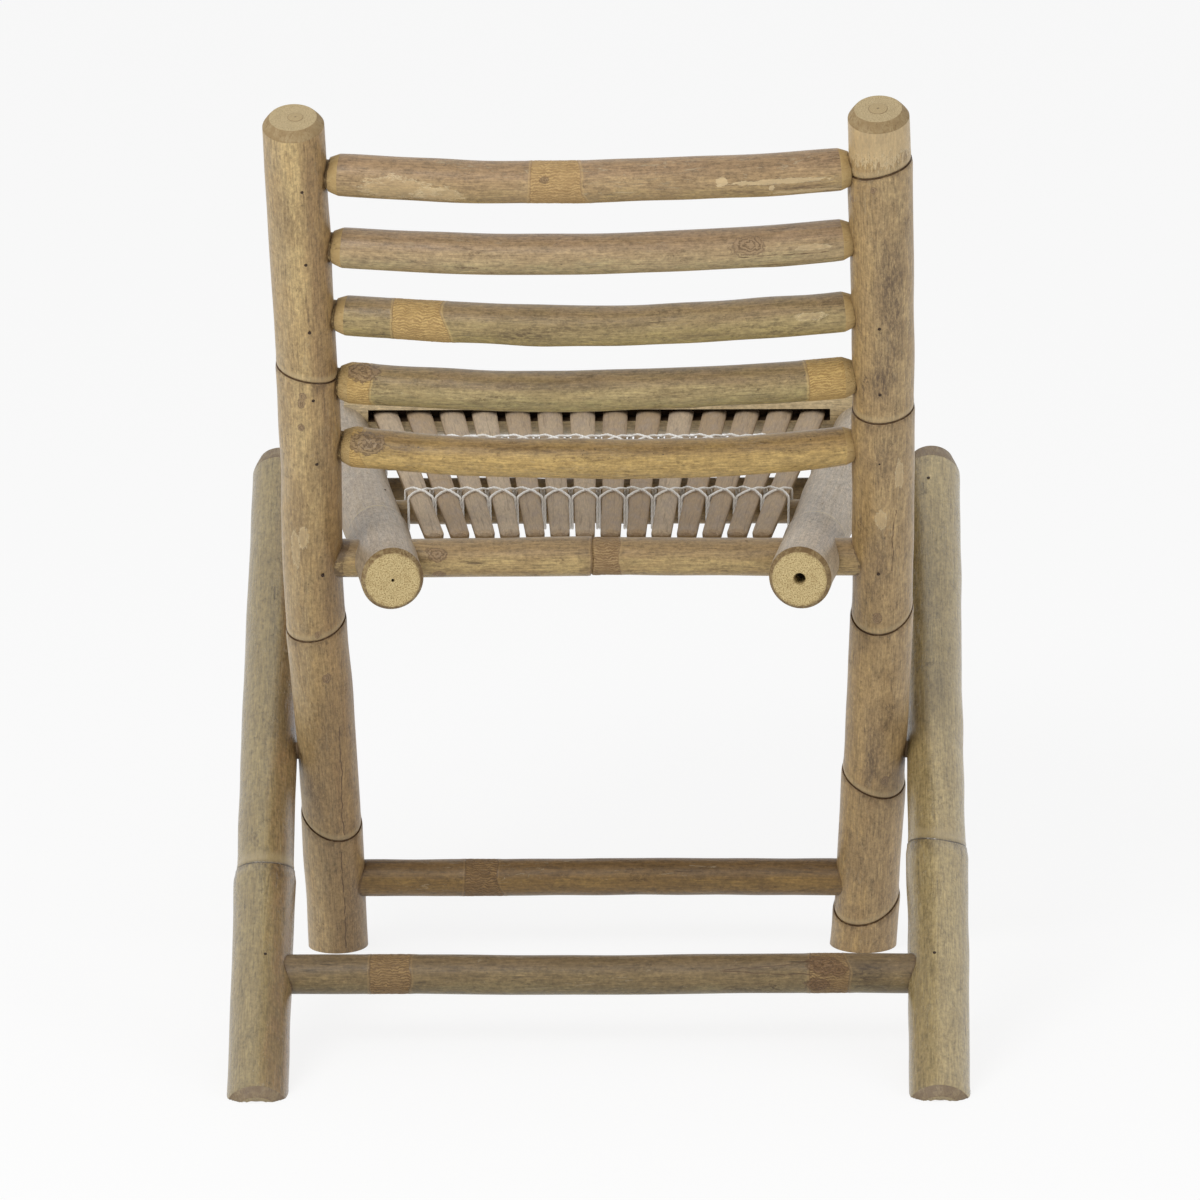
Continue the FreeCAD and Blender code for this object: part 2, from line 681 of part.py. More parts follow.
def write_parts():
    """Check every object and each node, then write one file per node."""
    doc.recompute()
    for item in doc.Objects:
        if "Invalid" in item.State or "Error" in item.State:
            raise RuntimeError(f"{item.Label} failed: {item.State}")
        if item.TypeId == "Part::Cut":
            taken = item.Base.Shape.Volume - item.Shape.Volume
            if not -1 < taken < item.Tool.Shape.Volume + 1:
                raise RuntimeError(f"{item.Label}: a cut took {taken:.0f} mm3")
    whole = FreeCAD.BoundBox()
    os.makedirs("parts", exist_ok=True)
    for label, item in nodes.items():
        shape = item.Shape
        if shape.isNull() or not shape.isValid() or not shape.Solids:
            raise RuntimeError(f"{label} is not a valid solid")
        whole.add(shape.optimalBoundingBox(True, False))
        shape.exportStep(f"parts/{label}.step")
        print(f"{label}: {len(shape.Solids)} solid(s), {shape.Volume:.0f} mm3")
    print(f"{len(nodes)} nodes, box {whole}")


write_parts()
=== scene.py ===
import math

import bpy
import numpy as np
from mathutils import Matrix, Vector

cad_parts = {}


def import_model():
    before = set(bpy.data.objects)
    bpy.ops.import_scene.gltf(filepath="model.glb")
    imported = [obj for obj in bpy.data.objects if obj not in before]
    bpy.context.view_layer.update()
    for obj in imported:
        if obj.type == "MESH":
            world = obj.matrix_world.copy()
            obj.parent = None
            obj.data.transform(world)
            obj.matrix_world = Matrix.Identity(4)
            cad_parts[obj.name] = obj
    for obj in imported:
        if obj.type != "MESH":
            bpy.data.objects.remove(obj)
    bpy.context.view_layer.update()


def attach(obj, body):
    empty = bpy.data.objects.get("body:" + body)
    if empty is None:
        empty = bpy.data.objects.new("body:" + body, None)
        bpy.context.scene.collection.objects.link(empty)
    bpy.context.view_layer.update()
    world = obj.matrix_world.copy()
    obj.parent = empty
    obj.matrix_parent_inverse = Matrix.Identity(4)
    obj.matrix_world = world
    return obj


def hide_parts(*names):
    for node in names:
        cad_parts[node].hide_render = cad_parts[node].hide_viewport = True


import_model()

# driving dimensions of the recliner, metres and radians, fitted to the photograph

ORIGIN = (0.0015, 0.3541)
POLE_DIA = 0.049
SEAT_POLE_DIA = 0.050
BEVEL_IN = 0.0058
BEVEL_RUN = 0.0077
TIP_BEVEL_RUN = 0.018
POST_LEAN = math.radians(24)
POST_LENGTH = 0.840
POST_TOP_UP = {"left": 0.8385, "right": 0.8445}
POST_FOOT_Y = 0.4175
POST_FOOT_X = {"left": 0.222, "right": 0.2185}
POST_TOP_X = {"left": 0.231, "right": 0.2205}
POST_BOW = {"left": 0.0, "right": 0.010}
GROUND_ALLOWANCE = 0.045
LEG_LEAN = math.radians(60)
LEG_LENGTH = 0.736
LEG_HEEL = 0.023
LEG_FOOT_X = {"left": 0.2684, "right": 0.2697}
LEG_TIP_X = {"left": 0.2787, "right": 0.2822}
BACK_SLAT_UP = {"left": (0.5219, 0.5845, 0.6505, 0.7155, 0.7844),
                "right": (0.5206, 0.5885, 0.6525, 0.7215, 0.788)}
BACK_SLAT_BOW = (0.018, 0.0137, 0.0156, 0.014, 0.0129)
BACK_SLAT_DIA = (0.032, 0.0325, 0.0325, 0.032, 0.0335)
SHOULDER_RUN = 0.009
SHOULDER_DROP = 0.0034
TENON_DIA = 0.023
SOCKET_DEPTH = 0.032
RAIL_DIA = 0.031
RAIL_UP = 0.410
BACK_STRETCHER_DIA = 0.031
BACK_STRETCHER_UP = 0.0732
LEG_STRETCHER_DIA = 0.0315
LEG_STRETCHER_UP = 0.128
LEG_BAR_DIA = 0.037
LEG_BAR_UP = 0.689
PIN_DIA = 0.014
PIN_RECESS = 0.0008
PLUG_DIA = {"left": 0.013, "right": 0.016}
PLUG_LENGTH = 0.012
SEAT_SLOPE = math.radians(1.3)
SEAT_TAIL = 0.073
SEAT_REACH = 0.485
SEAT_POLE_X = {"left": 0.1736, "right": 0.1704}
SEAT_POLE_FAN = {"left": 0.129, "right": 0.122}
PITH_HOLE_DIA = 0.010
PITH_HOLE_DEPTH = 0.018
LACING_ROD_DIA = 0.020
LACING_ROD_LIFT = 0.002
REAR_ROD_S = 0.143
FRONT_ROD_S = 0.330
FRONT_BAR_DIA = 0.038
FRONT_BAR_S = 0.444
FRONT_BAR_LIFT = 0.015
ROD_SOCKET_DEPTH = 0.020
SLATS = 14
SLAT_START_S = 0.0125
SLAT_END_S = 0.444
SLAT_THICKNESS = 0.007
SLAT_WIDTH = (0.016, 0.0215)
SLAT_PITCH = (0.0204, 0.0286)
SLAT_SHIFT = (-0.0006, -0.0046)
GROOVE_END_S = 0.446
GROOVE_HEIGHT = 0.010
CORD_DIA = 0.002
CORD_GAP = 0.00035
CORD_STAND = 0.0016
CORD_ASIDE = 0.00105
CORD_HUMP = 0.0011
CORD_DIP = 0.0026
CORD_CROSSING = 0.0052
CORD_ROUNDING = 0.0042
CORD_TWIST = 0.0042
SADDLE_GAP = 0.0003
NAIL_DIA = 0.0024
NAIL_HEAD_DIA = 0.0034
NAIL_INSET = 0.021
SEAT_NAIL_INSET = 0.012

ACROSS = np.array([1.0, 0.0, 0.0])
POST_UP = np.array([0.0, -math.sin(POST_LEAN), math.cos(POST_LEAN)])
POST_REAR = np.array([0.0, -math.cos(POST_LEAN), -math.sin(POST_LEAN)])
LEG_UP = np.array([0.0, math.sin(LEG_LEAN), math.cos(LEG_LEAN)])
LEG_UPPER_SIDE = np.array([0.0, -math.cos(LEG_LEAN), math.sin(LEG_LEAN)])
SEAT_FORWARD = np.array([0.0, math.cos(SEAT_SLOPE), math.sin(SEAT_SLOPE)])
SEAT_NORMAL = np.array([0.0, -math.sin(SEAT_SLOPE), math.cos(SEAT_SLOPE)])
SIDES = {"left": -1, "right": 1}


def place(x, y, z):
    """A point of the side view, x to the right, as a point of the part."""
    return np.array([x - ORIGIN[0], y - ORIGIN[1], z])


def post_x(side, up):
    """Where a post's axis is across the chair: a straight line plus a parabola for the bow."""
    share = up / POST_LENGTH
    straight = POST_FOOT_X[side] + (POST_TOP_X[side] - POST_FOOT_X[side]) * share
    return SIDES[side] * (straight + 4 * POST_BOW[side] * share * (1 - share))


def leg_x(side, up):
    return SIDES[side] * (LEG_FOOT_X[side] + (LEG_TIP_X[side] - LEG_FOOT_X[side]) * up / LEG_LENGTH)


def post_point(side, up):
    return place(post_x(side, up), POST_FOOT_Y, 0) + POST_UP * up


def leg_point(side, up):
    return place(leg_x(side, up), 0, 0) + LEG_UP * up


RAIL = place(0, POST_FOOT_Y, 0) + POST_UP * RAIL_UP


def seat_point(x, s, n):
    """A point of the seat: x across, s forward from the rail, n above the poles' axes."""
    return RAIL + ACROSS * x + SEAT_FORWARD * s + SEAT_NORMAL * n


def seat_pole_x(side, s):
    return SIDES[side] * (SEAT_POLE_X[side] + SEAT_POLE_FAN[side] * s)


# surfaces

def unit(vector):
    return vector / np.linalg.norm(vector, axis=-1, keepdims=True)


def smooth(value, low, high):
    """0 below low, 1 above high, and an S-shaped rise between."""
    t = np.clip((value - low) / (high - low), 0, 1)
    return t * t * (3 - 2 * t)


class Axis:
    """A pole's centre line: straight, or a circular arc whose middle stands out sideways by bow."""

    def __init__(self, start, end, sideways, bow=0.0):
        chord = end - start
        self.start = start
        self.along = unit(chord)
        self.out = unit(sideways - self.along * (sideways @ self.along))
        self.length = float(np.linalg.norm(chord))
        self.bow = bow
        if bow:
            self.radius = self.length ** 2 / (8 * bow) + bow / 2
            self.half = math.asin(self.length / (2 * self.radius))
            self.centre = (start + end) / 2 - self.out * (self.radius - bow)
            self.length = 2 * self.half * self.radius

    def at(self, distance):
        """Point, tangent and the two cross directions at distances along the line."""
        distance = np.asarray(distance)[..., None]
        if not self.bow:
            point = self.start + self.along * distance
            tangent = self.along + 0 * distance
            out = self.out + 0 * distance
        else:
            turn = distance / self.radius - self.half
            out = self.out * np.cos(turn) + self.along * np.sin(turn)
            tangent = self.along * np.cos(turn) - self.out * np.sin(turn)
            point = self.centre + out * self.radius
        return point, tangent, out, np.cross(tangent, out)


def closed_mesh(name, rings, attributes, sharp=35.0):
    """A mesh of closed rings (rows x columns x 3): quads between rings and a fan at each end.

    Each attribute is an array of rows x columns (or x 3); its fans take the mean of the end ring."""
    rows, columns, _ = rings.shape
    index = np.arange(rows * columns).reshape(rows, columns)
    beside = np.roll(index, -1, axis=1)
    quads = np.stack([index[:-1], beside[:-1], beside[1:], index[1:]], axis=-1).reshape(-1, 4)
    first = rows * columns
    last = first + 1
    fan_low = np.stack([np.full(columns, first), beside[0], index[0]], axis=-1)
    fan_high = np.stack([np.full(columns, last), index[-1], beside[-1]], axis=-1)
    points = np.concatenate([rings.reshape(-1, 3), [rings[0].mean(0)], [rings[-1].mean(0)]])
    mesh = bpy.data.meshes.new(name)
    mesh.from_pydata(points.tolist(), [], quads.tolist() + fan_low.tolist() + fan_high.tolist())
    for key, values in attributes.items():
        vector = values.ndim == 3
        flat = values.reshape(first, -1)
        flat = np.concatenate([flat, [values[0].reshape(columns, -1).mean(0)],
                               [values[-1].reshape(columns, -1).mean(0)]])
        layer = mesh.attributes.new(key, "FLOAT_VECTOR" if vector else "FLOAT", "POINT")
        layer.data.foreach_set("vector" if vector else "value", flat.astype(np.float32).ravel())
    mesh.polygons.foreach_set("use_smooth", np.ones(len(mesh.polygons), bool))
    mesh.set_sharp_from_angle(angle=math.radians(sharp))
    mesh.validate()
    piece = bpy.data.objects.new(name, mesh)
    bpy.context.scene.collection.objects.link(piece)
    return piece


def joined(name, pieces):
    """Several meshes as one object."""
    bpy.ops.object.select_all(action="DESELECT")
    for piece in pieces:
        piece.select_set(True)
    bpy.context.view_layer.objects.active = pieces[0]
    bpy.ops.object.join()
    pieces[0].name = name
    pieces[0].data.name = name
    return pieces[0]


# trimmed ends of a pole: rows from the middle of the end face outwards, each a distance in from the
# end, a radius and a trim value (2 end face, 1 carved rim, 0 skin)

FACE_SHARES = (0.05, 0.25, 0.45, 0.65, 0.82, 0.94, 0.99)


def sawn_end(radius, run=BEVEL_RUN, inset=BEVEL_IN):
    """A square saw cut whose rim is whittled off in a slightly round slope."""
    face = radius - inset
    rows = [(0.0, face * share, 2.0) for share in FACE_SHARES]
    rows.append((0.0003, face + 0.0002, 1.0))
    for t in (0.08, 0.2, 0.35, 0.5, 0.65, 0.8, 0.9, 0.96):
        rise = 0.7 * t + 0.3 * math.sin(t * math.pi / 2)
        rows.append((run * t, face + inset * rise, 1.0))
    rows.append((run, radius - 0.0001, 0.0))
    return rows


def tenon_end(radius):
    """A hidden tenon, then the whittled shoulder that widens from it to the full radius at 0."""
    tenon = TENON_DIA / 2
    end = -SHOULDER_RUN - SOCKET_DEPTH
    rows = [(end, tenon * share, 2.0) for share in (0.3, 0.98)]
    rows += [(end + 0.0005, tenon, 1.0), (-SHOULDER_RUN - 0.004, tenon, 1.0), (-SHOULDER_RUN, tenon, 1.0)]
    shown = radius - SHOULDER_DROP
    for t in (0.08, 0.3, 0.5, 0.7, 0.85, 0.94):
        rise = 0.8 * t + 0.2 * math.sin(t * math.pi / 2)
        rows.append((SHOULDER_RUN * (t - 1), shown + (radius - shown) * rise, 1.0))
    rows.append((0.0, radius - 0.0001, 0.0))
    return rows


def plain_end(radius):
    """A square end inside another pole."""
    return [(0.0, radius * 0.5, 2.0), (0.0, radius * 0.97, 2.0), (0.0004, radius, 0.0)]


NODE_ROWS = np.array([-30, -22, -16, -12, -9, -7, -5.2, -3.8, -2.6, -1.6, -0.9, -0.4, -0.08, 0.08, 0.4,
                      0.8, 1.2, 1.7, 2.4, 3.4, 4.8, 6.6, 9, 12, 16, 22, 30]) * 0.001


def node_swell(d, below, above, slope):
    """Radius change near a node line at d = 0: the older joint swells to it and ends in a lip, and the
    younger one starts thinner from the groove on the line, with a low ridge just above."""
    rise = 0.35 + 0.65 * smooth(-d, 0, slope)
    older = below * rise * np.exp(np.minimum(d, 0) / 0.11)
    groove = -0.0007 * np.exp(-((d - 0.0004) / 0.0006) ** 2)
    ridge = 0.0003 * np.exp(-((d - 0.0045) / 0.0025) ** 2)
    younger = above * np.exp(-np.maximum(d, 0) / 0.05) + groove + ridge
    return np.where(d < 0, older, younger)


def culm(name, axis, dia, low, high, nodes=(), bands=(), scars=(), seed=0, below=0.0009, above=-0.0005,
         slope=0.004, girth=((0, 1), (1, 1)), bends=(), ridges=(), columns=72, begin=0.0, floor=False,
         reshape=None, dense=()):
    """A bamboo pole: rings round the axis whose radius follows the end trims, the girth along the
    pole, the swelling at each node, a slight oval, low ridges and small bumps.

    A node is its distance and how far its line leans up on the out side and on the side side: near it
    the rings shift along the pole by a cosine and a sine of those. A band is a start, an end and how
    far its end bulges. A scar is its distance, a turn in degrees and a size. A bend is a centre, a half
    width and an amount: the axis stands out by a bell curve of them. A ridge is a start, an end, a turn
    and a height. Dense holds the starts and ends of stretches with closer rows. Where floor is set,
    what is below it slides up along the pole."""
    random = np.random.default_rng(seed)
    radius = dia / 2
    low_rows = low(radius)
    high_rows = high(radius)
    first = begin + low_rows[-1][0]
    last = axis.length - high_rows[-1][0]
    shaft = np.arange(first + 0.006, last - 0.003, 0.006)
    fine = [node[0] + NODE_ROWS for node in nodes]
    fine += [np.arange(start - 0.006, end + 0.010, 0.0011) for start, end, _ in bands]
    fine += [scar[0] + np.linspace(-1, 1, 13) * scar[2] * 1.6 for scar in scars]
    fine += [np.arange(low_edge, high_edge, 0.0008) for low_edge, high_edge in dense]
    shaft = np.sort(np.concatenate([shaft, *fine])) if fine else shaft
    shaft = shaft[(shaft > first + 0.0002) & (shaft < last - 0.0002)]
    shaft = shaft[np.concatenate([[True], np.diff(shaft) > 0.00012])]
    high_rows = high_rows[::-1]
    a = np.concatenate([[begin + row[0] for row in low_rows], shaft,
                        [axis.length - row[0] for row in high_rows]])
    base = np.concatenate([[row[1] for row in low_rows], np.full(len(shaft), radius),
                           [row[1] for row in high_rows]])
    trim = np.concatenate([[row[2] for row in low_rows], np.zeros(len(shaft)),
                           [row[2] for row in high_rows]])
    angle = np.linspace(0, 2 * math.pi, columns, endpoint=False)[None, :]
    a = a[:, None]
    share = a / axis.length
    full = smooth(base / radius, 0.6, 1.0)[:, None]

    ring = np.full((len(a), columns), 0.2)
    swell = np.zeros((len(a), columns))
    shift = np.zeros((len(a), columns))
    for node, lean_out, lean_side in nodes:
        phase = random.uniform(0, 2 * math.pi)
        size = random.uniform(0.8, 1.2)
        line = lean_out * np.cos(angle) + lean_side * np.sin(angle) + 0.0003 * np.sin(3 * angle + phase)
        shift = shift + line * np.exp(-((a - node) / 0.045) ** 2)
        d = a - node + 0 * angle
        swell = swell + node_swell(d, below * size, above * size, slope)
        ring = np.where(np.abs(d) < np.abs(ring), d, ring)
    shift = shift * smooth(axis.length - a, 0.004, 0.032)
    band = np.full((len(a), columns), -0.03)
    for start, end, bulge in bands:
        phase = random.uniform(0, 2 * math.pi, 3)
        ragged = bulge * np.sin(angle) + 0.0012 * np.cos(3 * angle + phase[1])
        plain = 0.0008 * np.cos(angle - phase[2])
        band = np.maximum(band, np.minimum(a - start - plain, end + ragged - a))
    swell = swell + 0.0005 * smooth(band, -0.006, 0.004) - 0.0003 * smooth(band, -0.0002, 0.0004)
    scar_mask = np.zeros((len(a), columns))
    for centre, turn, size in scars:
        reach = np.hypot((a - centre) / (1.5 * size),
                         radius * (np.angle(np.exp(1j * (angle - math.radians(turn))))) / size)
        scar_mask = np.maximum(scar_mask, np.exp(-reach ** 2 * 1.2))
        swell = swell + 0.18 * size * np.exp(-reach ** 2) - 0.12 * size * np.exp(-(reach * 2.6) ** 2)
    for start, end, turn, height in ridges:
        off = radius * np.angle(np.exp(1j * (angle - math.radians(turn))))
        inside = smooth(a, start, start + 0.02) * (1 - smooth(a, end - 0.02, end))
        swell = swell + height * inside * np.exp(-(off / 0.0013) ** 2)

    phases = random.uniform(0, 2 * math.pi, (6, 2))
    bumps = 0 * a + 0 * angle
    for order, (one, two) in enumerate(phases, start=1):
        bumps = bumps + 0.00014 * np.cos(order % 4 * angle + one) * np.sin(
            2 * math.pi * a * (2 + 2.3 * order) + two)
    comb = np.sin(angle * radius * 2300 + 2.5 * np.sin(a * 520 + phases[0, 0]) + phases[0, 1])
    rough = 0.00016 * comb * np.sin(a * 330 + 3 * np.sin(angle * 4)) * smooth(band, 0.0, 0.002)
    oval = 1 + 0.010 * np.cos(2 * (angle - phases[0, 0]))
    oval = oval * np.interp(share, *zip(*girth))
    r = base[:, None] * (1 + (oval - 1) * full) + (swell + bumps + rough) * full

    point, tangent, out, side = (value[:, None] if value.ndim == 2 else value for value in
                                 (item.reshape(len(a), 3) for item in axis.at(a[:, 0])))
    wander = 0.0006 * np.sin(math.pi * share) * full[:, :1]
    sway = wander * np.sin(2 * math.pi * (1.4 * share + phases[1, 0]))
    sway = sway + sum(amount * np.exp(-((a - centre) / width) ** 2) for centre, width, amount in bends)
    heave = wander * np.sin(2 * math.pi * (1.1 * share + phases[1, 1]))
    radial = out * np.cos(angle)[..., None] + side * np.sin(angle)[..., None]
    rings = point + radial * r[..., None] + tangent * shift[..., None]
    rings = rings + out * sway[..., None] + side * heave[..., None]
    if floor:
        rings = rings + tangent * (np.maximum(-rings[..., 2], 0) / tangent[..., 2])[..., None]
    if reshape:
        rings = reshape(rings)
    stem = np.stack([r * np.cos(angle), r * np.sin(angle), a + shift], axis=-1)
    stem = stem + [0, 0, 3 + random.integers(1, 90)]
    attributes = {
        "stem": stem,
        "facing": radial + 0 * rings,
        "ring": ring,
        "band": band,
        "trim": trim[:, None] + 0 * ring,
        "heart": r / radius,
        "share": share + 0 * ring,
        "scar": scar_mask,
    }
    return closed_mesh(name, rings, attributes)


# materials

class Tree:
    """Shader nodes with short calls; most return the output socket of a new node."""

    def __init__(self, tree):
        self.tree = tree

    def node(self, kind, **settings):
        node = self.tree.nodes.new(kind)
        for key, value in settings.items():
            setattr(node, key, value)
        return node

    def feed(self, socket, value):
        if isinstance(value, bpy.types.NodeSocket):
            self.tree.links.new(value, socket)
        else:
            socket.default_value = value

    def give(self, node, **values):
        """Feeds several inputs of a node by name."""
        for key, value in values.items():
            self.feed(node.inputs[key], value)

    def math(self, operation, one, two=0.0, three=0.0):
        node = self.node("ShaderNodeMath", operation=operation)
        for socket, value in zip(node.inputs, (one, two, three)):
            self.feed(socket, value)
        return node.outputs[0]

    def times(self, one, two):
        return self.math("MULTIPLY", one, two)

    def minus(self, one, two):
        return self.math("SUBTRACT", one, two)

    def larger(self, one, two):
        return self.math("MAXIMUM", one, two)

    def scale_add(self, one, two, three):
        return self.math("MULTIPLY_ADD", one, two, three)

    def swing(self, value, amount, base):
        """The base plus an amount times how far a value of 0 to 1 is from its middle."""
        return self.scale_add(self.minus(value, 0.5), amount, base)

    def scaled(self, vector, scale):
        node = self.node("ShaderNodeVectorMath", operation="MULTIPLY")
        self.feed(node.inputs[0], vector)
        node.inputs[1].default_value = scale
        return node.outputs[0]

    def noise(self, vector, scale, detail=3.0, roughness=0.55, distortion=0.0):
        """Noise of about one feature per 1/scale metres, with a scale of its own for each axis."""
        node = self.node("ShaderNodeTexNoise")
        self.feed(node.inputs["Vector"], self.scaled(vector, scale))
        node.inputs["Scale"].default_value = 1.0
        node.inputs["Detail"].default_value = detail
        node.inputs["Roughness"].default_value = roughness
        node.inputs["Distortion"].default_value = distortion
        return node.outputs["Fac"]

    def rise(self, value, low, high, to_low=0.0, to_high=1.0):
        """A smooth step of a value from low to high."""
        node = self.node("ShaderNodeMapRange", interpolation_type="SMOOTHSTEP")
        self.feed(node.inputs["Value"], value)
        for key, number in (("From Min", low), ("From Max", high), ("To Min", to_low), ("To Max", to_high)):
            self.feed(node.inputs[key], number)
        return node.outputs["Result"]

    def mix(self, share, one, two, blend="MIX"):
        node = self.node("ShaderNodeMix", data_type="RGBA", blend_type=blend)
        self.feed(node.inputs[0], share)
        self.feed(node.inputs[6], one)
        self.feed(node.inputs[7], two)
        return node.outputs[2]

    def grey(self, value):
        node = self.node("ShaderNodeCombineColor")
        for socket in node.inputs:
            self.feed(socket, value)
        return node.outputs[0]

    def turn(self, stem):
        """The direction round a pole, as an angle."""
        parts = self.node("ShaderNodeSeparateXYZ")
        self.feed(parts.inputs[0], stem)
        return self.math("ARCTAN2", parts.outputs["Y"], parts.outputs["X"])

    def bump(self, shader, height, strength, distance):
        node = self.node("ShaderNodeBump")
        node.inputs["Strength"].default_value = strength
        node.inputs["Distance"].default_value = distance
        self.feed(node.inputs["Height"], height)
        self.feed(shader.inputs["Normal"], node.outputs[0])

    def attribute(self, name, output="Fac"):
        return self.node("ShaderNodeAttribute", attribute_name=name).outputs[output]

    def seen(self):
        """1 where the camera, a reflection or a refraction looks, 0 where light only falls."""
        path = self.node("ShaderNodeLightPath").outputs
        mirrored = self.larger(path["Is Glossy Ray"], path["Is Transmission Ray"])
        return self.larger(path["Is Camera Ray"], mirrored)

    def group(self, tree, **values):
        node = self.node("ShaderNodeGroup", node_tree=tree)
        self.give(node, **values)
        return node.outputs


def srgb(red, green, blue):
    """An sRGB colour, 0 to 255, in the linear form that shaders take."""
    values = [channel / 255 for channel in (red, green, blue)]
    return tuple(v / 12.92 if v <= 0.04045 else ((v + 0.055) / 1.055) ** 2.4 for v in values) + (1.0,)


def shader_group(name, inputs, outputs):
    """An empty group with named sockets; returns its tree, its inputs by name and its output node."""
    tree = bpy.data.node_groups.new(name, "ShaderNodeTree")
    for key, kind in inputs.items():
        tree.interface.new_socket(name=key, in_out="INPUT", socket_type="NodeSocket" + kind)
    for key, kind in outputs.items():
        tree.interface.new_socket(name=key, in_out="OUTPUT", socket_type="NodeSocket" + kind)
    source = tree.nodes.new("NodeGroupInput").outputs
    return tree, source, tree.nodes.new("NodeGroupOutput")


def make_skin_group():
    """Dry bamboo skin: long fibres, broad streaks, blotches of two tones, thin dark checks along the
    grain, grimy clouds made of specks, pale rubbed patches with hard edges, hair-thin scratches, pale
    nicks and black mould dots."""
    tree, source, result = shader_group(
        "bamboo_skin",
        {"Stem": "Vector", "Pale": "Color", "Deep": "Color", "Grime": "Color", "Grime Amount": "Float",
         "Mould Amount": "Float", "Scuff Amount": "Float"},
        {"Color": "Color", "Height": "Float", "Roughness": "Float"})
    t = Tree(tree)
    stem = source["Stem"]
    fibre = t.noise(stem, (850, 850, 60), 5, 0.72)
    mottle = t.noise(stem, (330, 330, 230), 5, 0.78)
    streak = t.noise(stem, (240, 240, 14), 4, 0.66)
    blotch = t.noise(stem, (64, 64, 26), 5, 0.70, 0.6)
    color = t.mix(t.rise(blotch, 0.42, 0.60), source["Deep"], source["Pale"])
    shade = t.swing(fibre, 1.75, 1.0)
    shade = t.swing(mottle, 1.9, shade)
    shade = t.swing(streak, 0.55, shade)
    color = t.mix(1.0, color, t.grey(shade), "MULTIPLY")
    shadow = t.mix(1.0, source["Grime"], (0.6, 0.6, 0.6, 1), "MULTIPLY")
    check = t.noise(stem, (520, 520, 26), 3, 0.6)
    where = t.noise(stem, (75, 75, 30), 3, 0.6)
    dark = t.times(t.rise(check, 0.64, 0.68), t.rise(where, 0.46, 0.60, 0.0, 0.65))
    color = t.mix(dark, color, shadow)
    patch = t.noise(stem, (85, 85, 30), 4, 0.70, 0.9)
    speck = t.noise(stem, (620, 620, 330), 4, 0.75)
    cloud = t.rise(patch, t.minus(0.69, t.times(source["Grime Amount"], 0.20)), 0.75)
    grime = t.times(cloud, t.rise(speck, 0.43, 0.57, 0.05, 1.0))
    color = t.mix(t.times(grime, 0.9), color, source["Grime"])
    rubbed = t.noise(stem, (200, 200, 42), 5, 0.74, 1.4)
    worn = t.noise(stem, (34, 34, 9), 3, 0.6)
    limit = t.rise(worn, 0.34, 0.62, 0.80, 0.575)
    scuffed = t.rise(t.minus(rubbed, limit), 0.0, 0.010)
    rim = t.times(t.rise(t.minus(rubbed, limit), -0.012, 0.0), 0.35)
    scuffed = t.times(scuffed, source["Scuff Amount"])
    rim = t.times(rim, source["Scuff Amount"])
    color = t.mix(rim, color, shadow)
    color = t.mix(t.times(scuffed, 0.62), color,
                  t.mix(0.5, source["Pale"], (0.72, 0.60, 0.40, 1)))
    curl = t.noise(stem, (95, 95, 55), 2, 0.5, 2.2)
    thread = t.rise(t.math("ABSOLUTE", t.minus(curl, 0.5)), 0.0, 0.009, 1.0, 0.0)
    thread = t.times(thread, t.rise(t.noise(stem, (110, 110, 70), 2), 0.56, 0.64))
    color = t.mix(t.times(thread, 0.55), color, shadow)
    nick = t.noise(stem, (330, 330, 150), 3, 0.7, 1.6)
    fresh = t.mix(0.6, source["Pale"], (0.7, 0.6, 0.42, 1))
    color = t.mix(t.rise(nick, 0.70, 0.75, 0.0, 0.45), color, fresh)
    dots = t.noise(stem, (440, 440, 300), 2, 0.5)
    mould = t.times(t.rise(dots, 0.70, 0.74), t.rise(where, 0.46, 0.60, 0.15, 1.0))
    mould = t.times(mould, source["Mould Amount"])
    color = t.mix(mould, color, (0.045, 0.033, 0.020, 1))
    height = t.scale_add(mottle, 1.2, t.times(fibre, 0.9))
    height = t.scale_add(streak, 0.8, height)
    height = t.minus(height, t.times(scuffed, 0.7))
    height = t.minus(height, t.times(t.larger(dark, thread), 0.9))
    rough = t.scale_add(grime, 0.25, t.rise(streak, 0.3, 0.7, 0.30, 0.42))
    t.give(result, Color=color, Height=height, Roughness=t.scale_add(scuffed, 0.25, rough))
    return tree


